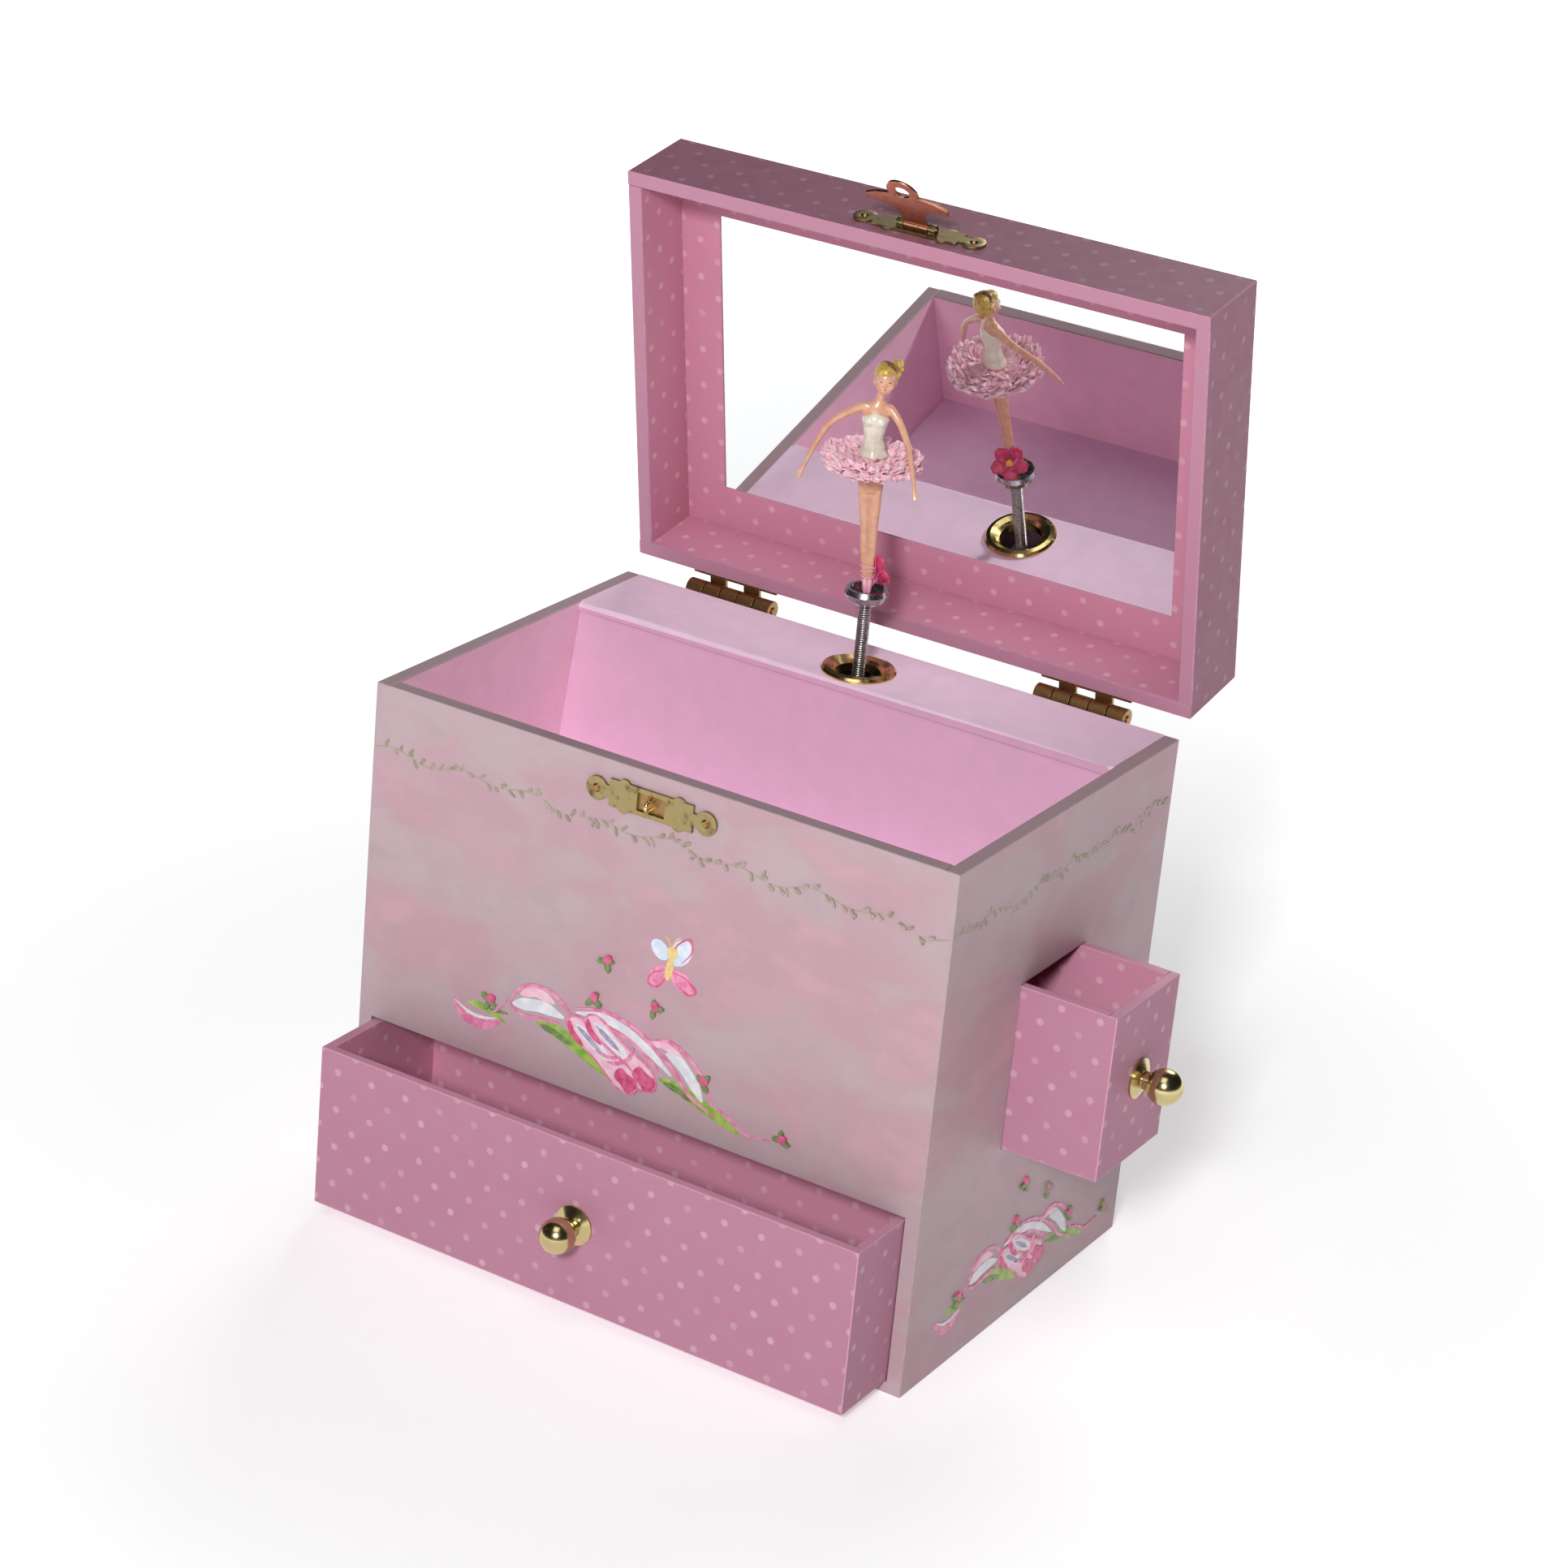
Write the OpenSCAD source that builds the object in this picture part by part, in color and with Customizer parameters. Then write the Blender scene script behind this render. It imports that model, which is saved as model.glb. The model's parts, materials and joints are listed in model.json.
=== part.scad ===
// Jewellery box with a mirrored lid, two drawers and a ballerina that turns on a spring post.
// Millimetres. The origin is the centre of the underside: +X right, -Y front, +Z up.
// The parts are drawn with the lid open, the hasp raised and both drawers pulled out part way.

/* [Case] */
// Width of the case
case_w = 160; // [156:0.5:175]
// Depth of the case, front to back
case_d = 106.5; // [106:0.5:116]
// Height of the case without its lid
case_h = 133.7; // [133:0.1:136]
// Thickness of the case and lid boards
board = 3.8; // [3.4:0.1:3.8]
// Depth of the ledge along the back of the case
ledge_depth = 27.75; // [27:0.25:29]

/* [Lid] */
// Height of the lid
lid_h = 23.6; // [23:0.1:30]
// Depth of the mirror below the lid's rim
mirror_depth = 17.4; // [16:0.1:17.4]
// Width of the paper border around the mirror
mat_w = 11.4; // [6:0.1:16]
// Angle at which the lid stands open
lid_open = 79.4; // [60:0.1:90]
// Distance of the hinge axis behind the back board
hinge_out = 4.6; // [4.4:0.1:5]
// Distance between the middles of the two hinges
hinge_gap = 102; // [90:1:110]
// Length of each hinge
hinge_len = 25; // [24:0.5:28]
// Angle of the hasp above its shut position
hasp_raised = 58.4; // [0:0.1:90]

/* [Drawers] */
// Thickness of the drawer boards
drawer_board = 2.4; // [2:0.1:2.6]
// Height of the front drawer
front_drawer_h = 42.5; // [36:0.5:42.5]
// Length of the front drawer, front to back
front_drawer_len = 46; // [40:1:100]
// How far the front drawer is pulled out
front_pull = 20; // [1:1:34]
// Width of the side drawer
side_drawer_w = 31.8; // [26:0.2:32]
// Height of the side drawer
side_drawer_h = 42.4; // [34:0.2:42.4]
// Length of the side drawer
side_drawer_len = 60; // [50:1:62]
// How far the side drawer is pulled out
side_pull = 25.1; // [1:0.1:40]
// Diameter of the knobs' balls
knob_d = 8.9; // [7:0.1:10]

/* [Ballerina] */
// Outer diameter of the spring post
spring_d = 3.2; // [3:0.1:3.4]
// Height of the spring post above the ledge
spring_h = 17.3; // [16:0.1:19]
// Outer diameter of the tutu
tutu_d = 25; // [20:0.5:27]
// Direction that the ballerina faces, turned from the front towards the right
facing = 30; // [0:1:359]
// Outer diameter of the brass ring in the ledge
ring_d = 18.8; // [18:0.1:20]

/* [Movement] */
// Module of the drive wheels: pitch diameter over number of teeth
gear_module = 0.8; // [0.8:0.01:0.81]
// Diameter of the music cylinder
cylinder_d = 13; // [12.8:0.1:13]
// Number of notes in the comb
notes = 18; // [12:1:18]

/* [Hidden] */
$fn = 48;

// Colours
cloud_paper = "#d9b9c4";
dotted_paper = "#d786a5";
lining_paper = "#dfa3c4";
brass = "#b08d4a";
bright_brass = "#d6b25e";
steel = "#9a989c";
skin = "#dba583";

// Case planes
half_w = case_w / 2;
half_d = case_d / 2;
in_x = half_w - board;
in_y = half_d - board;
base_t = 3;
deck_low = 46.5;
deck_t = 3;
floor_low = 95.5;
floor_t = 3;
ledge_t = 2.2;
ledge_low = case_h - ledge_t;
ledge_front = half_d - ledge_depth;
riser_t = 2;
riser_foot = ledge_front - 5;

// Hinge axis and lid planes, with the lid shut
hinge_y = half_d + hinge_out;
hinge_z = case_h - 1.1;
rim_gap = 0.2;
lid_low = case_h + rim_gap;
lid_top = case_h + lid_h;
border_t = 0.4;
border_low = lid_low + mirror_depth;
mirror_low = border_low + border_t;

// Hinges
leaf_t = 0.9;
knuckle_r = 2.6;
hinge_pin_r = 0.9;
hinge_bore_r = 0.95;
knuckle_gap = 0.3;
knuckle_len = (hinge_len - 4 * knuckle_gap) / 5;
leaf_h = 13;
leaf_pin_x = 8;
case_tack_z = hinge_z - 8;
lid_tack_z = lid_low + 8.5;

// Lock and hasp
plate_t = 0.8;
plate_half = 15;
clasp_x = -0.6;
hasp_z = 139;
hasp_eye = 13;
lock_z = hasp_z - hasp_eye;
hasp_y = -half_d - 1.95;
hasp_t = 0.7;
hasp_knuckle_r = 1.05;
hasp_bore_r = 0.55;
hasp_pin_r = 0.5;
tack_r = 0.6;
tack_len = 3.5;

// Drawers
slide_gap = 0.3;
front_drawer_low = base_t + 0.2;
front_face_y = -half_d - front_pull;
front_half_w = in_x - slide_gap;
front_knob_z = front_drawer_low + front_drawer_h / 2 + 0.4;
front_rear_y = front_face_y + front_drawer_len;
side_mid_y = -0.2;
side_drawer_low = 50.7;
side_face_x = half_w + side_pull;
side_inner_x = side_face_x - side_drawer_len;
side_knob_z = side_drawer_low + side_drawer_h / 2;
side_y = [side_mid_y - side_drawer_w / 2, side_mid_y + side_drawer_w / 2];
side_z = [side_drawer_low, side_drawer_low + side_drawer_h];
pocket_t = 2;
pocket_end = 16;
knob_ball_out = 7;

// Ballerina
post_y = 36.1;
spring_r = spring_d / 2;
spring_low = ledge_low - 2.5;
spring_top = case_h + spring_h;
cup_low = spring_top + 0.2;
cup_h = 4.2;
ring_hole_r = 5.6;
toe_z = cup_low + 2.6;
hip_z = 182;

// Movement
wheel_z = 98;
plate_front = in_y - 2.5;
great_teeth = 32;
crown_teeth = 18;
great_r = gear_module * great_teeth / 2;
crown_r = gear_module * crown_teeth / 2;
crown_pitch_z = wheel_z + great_r;
wheel_front = post_y + crown_r - 1.3;
wheel_w = 2.5;
tooth_w = 1;
arbor_r = 1.5;
cylinder_x = 18.2;
cylinder_len = 20;
cylinder_r = cylinder_d / 2;
cylinder_arbor_r = 0.9;
comb_tip_gap = 0.15;
pin_out = 0.4;
comb_tip_z = wheel_z - cylinder_r - pin_out - comb_tip_gap;
comb_low = comb_tip_z - 20;
comb_screws = [cylinder_x + 4, cylinder_x + cylinder_len - 4];
note_pitch = (cylinder_len - 1) / notes;
small_module = 0.5;
cylinder_gear_teeth = 27;
pinion_teeth = 9;
small_gear_x = cylinder_x + cylinder_len + 0.4;
pinion_z = wheel_z + small_module * (cylinder_gear_teeth + pinion_teeth) / 2;
spindle_r = 1;
fan_x = 48.4;
fan_y = 38;
housing_r = 10.5;
housing_front = 30;
housing_back = wheel_front - 0.5;
bed_screws = [[-15, 74], [-15, 114], [50, 74]];

// A block between low and high limits on each axis
module span(x, y, z) {
  translate([x[0], y[0], z[0]])
    cube([x[1] - x[0], y[1] - y[0], z[1] - z[0]]);
}

// Extrudes a (y, z) outline along X
module along_x(low, high) {
  translate([low, 0, 0]) rotate([90, 0, 90]) linear_extrude(high - low) children();
}

// A rod along one axis from a start point
module rod_x(x, y, z, r) {
  translate([x[0], y, z]) rotate([0, 90, 0]) cylinder(h = x[1] - x[0], r = r);
}

module rod_y(x, y, z, r) {
  translate([x, y[0], z]) rotate([-90, 0, 0]) cylinder(h = y[1] - y[0], r = r);
}

module rod_z(x, y, z, r) {
  translate([x, y, z[0]]) cylinder(h = z[1] - z[0], r = r);
}

// Turns lid parts from shut to open
module opened() {
  translate([0, hinge_y, hinge_z]) rotate([-lid_open, 0, 0])
    translate([0, -hinge_y, -hinge_z]) children();
}

// A tapered limb between two points, round at both ends
module limb(a, b, ra, rb) {
  hull() {
    translate(a) sphere(r = ra, $fn = 16);
    translate(b) sphere(r = rb, $fn = 16);
  }
}

// Case boards

module base_panel() {
  color(cloud_paper) span([-in_x, in_x], [-half_d, in_y], [0, base_t]);
}

module left_panel() {
  color(cloud_paper) span([-half_w, -in_x], [-half_d, half_d], [0, case_h]);
}

module right_panel() {
  color(cloud_paper)
    difference() {
      span([in_x, half_w], [-half_d, half_d], [0, case_h]);
      side_window();
    }
}

// The hole in the right board that the side drawer slides through
module side_window() {
  half = side_drawer_w / 2 + slide_gap;
  high = side_drawer_low + side_drawer_h + slide_gap;
  span([in_x - 1, half_w + 1], [side_mid_y - half, side_mid_y + half], [side_drawer_low - slide_gap, high]);
}

module back_panel() {
  color(cloud_paper)
    difference() {
      span([-in_x, in_x], [in_y, half_d], [0, ledge_low]);
      rod_y(0, [in_y - 1, half_d + 1], wheel_z, 2.6);
      for (p = bed_screws)
        rod_y(p[0], [in_y - 1, half_d + 1], p[1], 1.3);
    }
}

module front_panel() {
  color(cloud_paper) span([-in_x, in_x], [-half_d, -in_y], [deck_low, case_h]);
}

module drawer_deck() {
  color(cloud_paper) span([-in_x, in_x], [-in_y, in_y], [deck_low, deck_low + deck_t]);
}

module compartment_floor() {
  color(lining_paper)
    span([-in_x, in_x], [-in_y, riser_foot + riser_t], [floor_low, floor_low + floor_t]);
}

module ledge_riser() {
  low = floor_low + floor_t;
  lean = 0.8;
  color(lining_paper)
    along_x(-in_x, in_x)
      polygon([
        [riser_foot, low], [riser_foot + riser_t, low],
        [ledge_front + riser_t + lean, ledge_low], [ledge_front + lean, ledge_low]
      ]);
}

module ledge_top() {
  color(lining_paper)
    difference() {
      span([-in_x, in_x], [ledge_front, half_d], [ledge_low, case_h]);
      rod_z(0, post_y, [ledge_low - 1, case_h + 1], ring_hole_r + 0.6);
    }
}

// Card guide around the side drawer: two walls and an end stop in one folded piece
module drawer_pocket() {
  half = side_drawer_w / 2 + slide_gap;
  z = [deck_low + deck_t, floor_low];
  y_low = side_mid_y - half;
  y_high = side_mid_y + half;
  color(cloud_paper) {
    span([pocket_end, in_x], [y_low - pocket_t, y_low], z);
    span([pocket_end, in_x], [y_high, y_high + pocket_t], z);
    span([pocket_end, pocket_end + pocket_t], [y_low - pocket_t, y_high + pocket_t], z);
  }
}

// Brass fittings of the case

// Outline of a stamped plate with a round lobe at each end
module plate_outline(h) {
  square([23, h], center = true);
  square([2 * plate_half, 3], center = true);
  for (s = [-1, 1]) {
    translate([s * plate_half, 0]) circle(r = 2.9);
    translate([s * 7.5, h / 2 - 1]) circle(r = 1.8);
    translate([s * 7.5, 1 - h / 2]) circle(r = 1.8);
  }
}

// Stands a plate outline on a front board, with its back on the board
module on_front(x, z, t) {
  translate([x, -half_d, z]) rotate([90, 0, 0]) linear_extrude(t) children();
}

module lock_plate() {
  color(brass)
    on_front(clasp_x, lock_z, plate_t)
      difference() {
        plate_outline(6.8);
        square([7.6, 4.6], center = true);
        for (s = [-1, 1])
          translate([s * plate_half, 0]) circle(r = tack_r + 0.05);
      }
}

// Wire loop that the hasp drops over, clinched through the front board
module lock_staple() {
  bend_r = 1.2;
  wire_r = 0.45;
  out = 1.7;
  color(bright_brass)
    translate([clasp_x, -half_d - out, lock_z]) {
      rotate([0, 90, 0]) rotate([0, 0, 180])
        rotate_extrude(angle = 180) translate([bend_r, 0]) circle(r = wire_r);
      for (s = [-1, 1])
        rod_y(0, [0, out + 2.5], s * bend_r, wire_r);
    }
}

module brass_ring() {
  outer = ring_d / 2;
  color(bright_brass)
    translate([0, post_y, 0])
      rotate_extrude($fn = 96)
        polygon([
          [ring_hole_r, ledge_low], [ring_hole_r + 0.5, ledge_low], [ring_hole_r + 0.5, case_h],
          [outer, case_h], [outer, case_h + 0.4], [outer - 0.5, case_h + 1],
          [outer - 1.6, case_h + 1.3], [ring_hole_r + 0.9, case_h + 0.6], [ring_hole_r, case_h - 0.2]
        ]);
}

// One hinge leaf about x = cx: its plate, and a web from the plate to each knuckle in ks.
// The five knuckles count from the low end of X.
module leaf(cx, ks, plate_z, web_z) {
  difference() {
    union() {
      span([cx - hinge_len / 2, cx + hinge_len / 2], [half_d, half_d + leaf_t], plate_z);
      for (k = ks) {
        x = cx - hinge_len / 2 + k * (knuckle_len + knuckle_gap);
        span([x, x + knuckle_len], [half_d, hinge_y - 1], web_z);
        rod_x([x, x + knuckle_len], hinge_y, hinge_z, knuckle_r);
      }
    }
    rod_x([cx - hinge_len, cx + hinge_len], hinge_y, hinge_z, hinge_bore_r);
  }
}

module case_hinge_leaves() {
  high = hinge_z + 0.2;
  color(brass)
    for (s = [-1, 1])
      difference() {
        leaf(s * hinge_gap / 2, [0, 2, 4], [high - leaf_h, high], [hinge_z - 1.4, hinge_z - 0.5]);
        for (t = [-1, 1])
          rod_y(s * hinge_gap / 2 + t * leaf_pin_x, [half_d - 1, half_d + 2], case_tack_z, tack_r + 0.05);
      }
}

module lid_hinge_leaves() {
  low = lid_low + 0.5;
  color(brass)
    opened()
      for (s = [-1, 1])
        difference() {
          leaf(s * hinge_gap / 2, [1, 3], [low, low + leaf_h], [hinge_z + 1.6, hinge_z + 2.5]);
          for (t = [-1, 1])
            rod_y(s * hinge_gap / 2 + t * leaf_pin_x, [half_d - 1, half_d + 2], lid_tack_z, tack_r + 0.05);
        }
}

module hinge_pins() {
  color(bright_brass)
    for (s = [-1, 1])
      rod_x([s * hinge_gap / 2 - hinge_len / 2 - 0.4, s * hinge_gap / 2 + hinge_len / 2 + 0.4],
        hinge_y, hinge_z, hinge_pin_r);
}

// A small round-headed nail pointing along +Y, its head's underside at y
module tack(x, y, z) {
  rod_y(x, [y, y + tack_len], z, tack_r);
  translate([x, y, z]) rotate([90, 0, 0]) cylinder(h = 0.5, r1 = 1.1, r2 = 0.7);
}

// The same nail pointing along -Y
module back_tack(x, y, z) {
  translate([x, y, z]) rotate([0, 0, 180]) tack(0, 0, 0);
}

module case_fitting_pins() {
  color(bright_brass) {
    for (s = [-1, 1]) {
      tack(clasp_x + s * plate_half, -half_d - plate_t, lock_z);
      for (t = [-1, 1])
        back_tack(s * hinge_gap / 2 + t * leaf_pin_x, half_d + leaf_t, case_tack_z);
    }
  }
}

module lid_fitting_pins() {
  color(bright_brass)
    opened()
      for (s = [-1, 1]) {
        tack(clasp_x + s * plate_half, -half_d - plate_t, hasp_z + 1);
        for (t = [-1, 1])
          back_tack(s * hinge_gap / 2 + t * leaf_pin_x, half_d + leaf_t, lid_tack_z);
      }
}

// Lid boards and mirror

module lid_top_panel() {
  color(dotted_paper)
    opened() span([-half_w, half_w], [-half_d, half_d], [lid_top - board, lid_top]);
}

module lid_front_wall() {
  color(dotted_paper)
    opened() span([-half_w, half_w], [-half_d, -in_y], [lid_low, lid_top - board]);
}

module lid_back_wall() {
  color(dotted_paper)
    opened() span([-half_w, half_w], [in_y, half_d], [lid_low, lid_top - board]);
}

module lid_end_walls() {
  color(dotted_paper)
    opened() {
      span([-half_w, -in_x], [-in_y, in_y], [lid_low, lid_top - board]);
      span([in_x, half_w], [-in_y, in_y], [lid_low, lid_top - board]);
    }
}

module mirror_border() {
  color(dotted_paper)
    opened()
      difference() {
        span([-in_x, in_x], [-in_y, in_y], [border_low, mirror_low]);
        span([mat_w - in_x, in_x - mat_w], [mat_w - in_y, in_y - mat_w], [border_low - 1, mirror_low + 1]);
      }
}

module mirror() {
  inset = 1;
  color("#e8eef2")
    opened()
      span([inset - in_x, in_x - inset], [inset - in_y, in_y - inset], [mirror_low, lid_top - board]);
}

// Hasp

module hasp_base() {
  color(brass)
    opened()
      difference() {
        union() {
          on_front(clasp_x, hasp_z + 1, plate_t) plate_outline(5.6);
          for (s = [-1, 1]) {
            x = clasp_x + s * 4.4 - 0.9;
            span([x, x + 1.8], [hasp_y, -half_d], [hasp_z - 0.9, hasp_z + 0.9]);
            rod_x([x, x + 1.8], hasp_y, hasp_z, hasp_knuckle_r);
          }
        }
        rod_x([clasp_x - 8, clasp_x + 8], hasp_y, hasp_z, hasp_pin_r);
        for (s = [-1, 1])
          rod_y(clasp_x + s * plate_half, [-half_d - 2, -half_d + 1], hasp_z + 1, tack_r + 0.05);
      }
}

module hasp_pin() {
  color(bright_brass)
    opened() rod_x([clasp_x - 5.6, clasp_x + 5.6], hasp_y, hasp_z, hasp_pin_r);
}

// The hasp is drawn hanging down from its pin, then raised
module hasp() {
  color("#b5794d")
    opened()
      translate([clasp_x, hasp_y, hasp_z]) rotate([-hasp_raised, 0, 0])
        difference() {
          union() {
            rod_x([-3.3, 3.3], 0, 0, hasp_knuckle_r);
            translate([0, hasp_t / 2, 0]) rotate([90, 0, 0]) linear_extrude(hasp_t) hasp_outline();
          }
          rod_x([-4, 4], 0, 0, hasp_bore_r);
        }
}

module hasp_outline() {
  difference() {
    union() {
      polygon([
        [-3.2, 0], [3.2, 0], [3.2, -5], [6, -7], [11.3, -7.6], [11.3, -9.4], [8, -11], [3, -12],
        [-3, -12], [-8, -11], [-11.3, -9.4], [-11.3, -7.6], [-6, -7], [-3.2, -5]
      ]);
      translate([0, -hasp_eye]) circle(r = 4.2);
    }
    translate([0, -hasp_eye]) circle(r = 2);
  }
}

// Knobs and drawers

// A brass knob pointing along +Z from its foot, with a flared base
module knob() {
  hole_r = 1.4;
  difference() {
    union() {
      cylinder(h = 0.6, r = 5);
      translate([0, 0, 0.6]) cylinder(h = 1.2, r1 = 5, r2 = 2.6);
      cylinder(h = knob_ball_out, r = 2.2);
      translate([0, 0, knob_ball_out]) sphere(d = knob_d);
    }
    translate([0, 0, -1]) cylinder(h = 5, r = hole_r);
  }
}

// A pan-headed screw along +Z, its head's underside at z = 0
module pan_screw(len) {
  translate([0, 0, -1.4]) cylinder(h = 1.4, r1 = 2.2, r2 = 2.8);
  cylinder(h = len, r = 1.4);
}

module front_drawer_face() {
  color(dotted_paper)
    difference() {
      span([-front_half_w, front_half_w], [front_face_y, front_face_y + drawer_board],
        [front_drawer_low, front_drawer_low + front_drawer_h]);
      rod_y(0, [front_face_y - 1, front_face_y + drawer_board + 1], front_knob_z, 1.5);
    }
}

module front_drawer_back() {
  x = front_half_w - drawer_board;
  color(dotted_paper)
    span([-x, x], [front_rear_y - drawer_board, front_rear_y],
      [front_drawer_low, front_drawer_low + front_drawer_h]);
}

module front_drawer_sides() {
  color(dotted_paper)
    for (s = [-1, 1])
      translate([s * (front_half_w - drawer_board / 2), 0, 0])
        span([-drawer_board / 2, drawer_board / 2], [front_face_y + drawer_board, front_rear_y],
          [front_drawer_low, front_drawer_low + front_drawer_h]);
}

module front_drawer_bottom() {
  x = front_half_w - drawer_board;
  color(lining_paper)
    span([-x, x], [front_face_y + drawer_board, front_rear_y - drawer_board],
      [front_drawer_low, front_drawer_low + 2]);
}

module front_drawer_knob() {
  color(bright_brass)
    translate([0, front_face_y, front_knob_z]) rotate([90, 0, 0]) knob();
}

module front_knob_screw() {
  color(steel)
    translate([0, front_face_y + drawer_board, front_knob_z]) rotate([90, 0, 0])
      pan_screw(drawer_board + 3.5);
}

module side_drawer_face() {
  color(dotted_paper)
    difference() {
      span([side_face_x - drawer_board, side_face_x], side_y, side_z);
      rod_x([side_face_x - drawer_board - 1, side_face_x + 1], side_mid_y, side_knob_z, 1.5);
    }
}

module side_drawer_back() {
  color(dotted_paper)
    span([side_inner_x, side_inner_x + drawer_board],
      [side_y[0] + drawer_board, side_y[1] - drawer_board], side_z);
}

module side_drawer_sides() {
  color(dotted_paper) {
    span([side_inner_x, side_face_x - drawer_board], [side_y[0], side_y[0] + drawer_board], side_z);
    span([side_inner_x, side_face_x - drawer_board], [side_y[1] - drawer_board, side_y[1]], side_z);
  }
}

module side_drawer_bottom() {
  color(lining_paper)
    span([side_inner_x + drawer_board, side_face_x - drawer_board],
      [side_y[0] + drawer_board, side_y[1] - drawer_board], [side_z[0], side_z[0] + 2]);
}

module side_drawer_knob() {
  color(bright_brass)
    translate([side_face_x, side_mid_y, side_knob_z]) rotate([0, 90, 0]) knob();
}

module side_knob_screw() {
  color(steel)
    translate([side_face_x - drawer_board, side_mid_y, side_knob_z]) rotate([0, 90, 0])
      pan_screw(drawer_board + 3.5);
}

// Movement: fixed parts

module bedplate() {
  bore_r = arbor_r + 0.05;
  color("#a9a49a")
    difference() {
      union() {
        span([-19, 54], [plate_front, in_y], [69, 119]);
        // Bearing plates of the cylinder
        bearing(cylinder_x - 2, 1.5);
        bearing(small_gear_x + 2.6, 1.5);
        // Seat of the comb
        span([cylinder_x + 0.4, cylinder_x + cylinder_len - 0.4],
          [post_y + 0.4, plate_front], [comb_low, comb_low + 7]);
      }
      rod_y(0, [plate_front - 1, in_y + 1], wheel_z, bore_r);
      rod_x([cylinder_x - 3, small_gear_x + 6], post_y, wheel_z, cylinder_arbor_r + 0.05);
      for (p = comb_screws)
        rod_y(p, [post_y, post_y + 7], comb_low + 3.5, 1);
      for (p = bed_screws)
        rod_y(p[0], [plate_front - 1, in_y + 1], p[1], 1.2);
    }
}

module bearing(x, t) {
  span([x, x + t], [post_y - 2.6, plate_front], [wheel_z - 5, wheel_z + 5]);
}

module movement_screws() {
  color(steel) {
    for (p = bed_screws)
      translate([p[0], half_d, p[1]]) rotate([90, 0, 0]) {
        cylinder(h = board + 2.5, r = 1.2);
        translate([0, 0, -1.2]) cylinder(h = 1.2, r = 2.4);
      }
    for (x = comb_screws)
      translate([x, post_y - 0.4, comb_low + 3.5]) rotate([-90, 0, 0]) {
        cylinder(h = 7, r = 1);
        translate([0, 0, -1]) cylinder(h = 1, r = 1.9);
      }
  }
}

module spring_housing() {
  wall = 1;
  color("#bdb9b0")
    difference() {
      union() {
        rod_y(0, [housing_front, housing_back], wheel_z, housing_r);
        span([-12.6, 12.6], [housing_back - 2, housing_back], [wheel_z - 12.8, wheel_z - 9.2]);
        for (s = [-1, 1])
          rod_y(s * 12, [housing_back - 1, plate_front], wheel_z - 11.5, 1.6);
      }
      rod_y(0, [housing_front + wall, housing_back + 1], wheel_z, housing_r - wall);
      rod_y(0, [housing_front - 1, housing_front + wall + 1], wheel_z, 1.05);
    }
}

// Coiled strip between the arbor and the housing
module mainspring() {
  turns = 6;
  steps = 20;
  strip = 0.5;
  low_r = 2.4;
  grow = (housing_r - 1.4 - strip - low_r) / turns;
  inside = [for (i = [0:turns * steps]) spiral_point(i / steps, low_r + grow * i / steps)];
  outside = [for (i = [turns * steps:-1:0]) spiral_point(i / steps, low_r + strip + grow * i / steps)];
  color(steel)
    translate([0, housing_back - 0.8, wheel_z]) rotate([90, 0, 0])
      linear_extrude(housing_back - housing_front - 2.4) polygon(concat(inside, outside));
}

function spiral_point(turn, r) = [r * cos(360 * turn), r * sin(360 * turn)];

module tone_comb() {
  color("#8f8c86")
    translate([0, post_y + 0.4, 0])
      difference() {
        span([cylinder_x + 0.5, cylinder_x + cylinder_len - 0.5], [-0.8, 0], [comb_low, comb_tip_z]);
        for (i = [1:notes - 1])
          translate([cylinder_x + 0.5 + i * note_pitch, 0, 0])
            span([-0.12, 0.12], [-1, 1], [comb_low + 7, comb_tip_z + 1]);
        for (x = comb_screws)
          rod_y(x, [-2, 1], comb_low + 3.5, 1.05);
      }
}

// Two arms that carry the upright spindle
module spindle_bracket() {
  color("#bdb9b0")
    difference() {
      union() {
        span([-4, 4], [plate_front - 1.5, plate_front], [115.2, 127.5]);
        span([-4, 4], [post_y - 3, plate_front], [115.2, 116.8]);
        span([-4, 4], [post_y - 3, plate_front], [125.9, 127.5]);
      }
      rod_z(0, post_y, [114, 129], spindle_r + 0.05);
    }
}

module governor_housing() {
  color("#a9a49a")
    difference() {
      span([fan_x - 5, fan_x + 5], [post_y - 4.6, plate_front], [100.5, 112.5]);
      rod_x([fan_x - 6, fan_x - 1], post_y, pinion_z, 0.65);
      rod_z(fan_x, fan_y, [108, 114], 0.55);
    }
}

// Movement: turning parts

module winding_arbor() {
  color(steel) {
    rod_y(0, [housing_front - 0.6, housing_front + 1.6], wheel_z, 1);
    rod_y(0, [housing_front + 1.6, half_d + 6], wheel_z, arbor_r);
  }
}

// Straight-sided teeth around a wheel whose axis is +Z, with a gap at angle 0
module spur_outline(teeth, m) {
  r = m * teeth / 2;
  circle(r = r - 1.2 * m);
  for (i = [0:teeth - 1])
    rotate(360 * (i + 0.5) / teeth)
      polygon([
        [r - 1.3 * m, -0.8 * m], [r, -0.6 * m], [r + m, -0.36 * m],
        [r + m, 0.36 * m], [r, 0.6 * m], [r - 1.3 * m, 0.8 * m]
      ]);
}

module great_wheel() {
  color(bright_brass)
    difference() {
      translate([0, wheel_front + wheel_w, wheel_z]) rotate([90, 0, 0])
        linear_extrude(wheel_w) spur_outline(great_teeth, gear_module);
      rod_y(0, [wheel_front - 1, wheel_front + wheel_w + 1], wheel_z, arbor_r);
      for (a = [0:72:288])
        translate([7 * cos(a), 0, wheel_z + 7 * sin(a)])
          rod_y(0, [wheel_front - 1, wheel_front + wheel_w + 1], 0, 2.2);
    }
}

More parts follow.
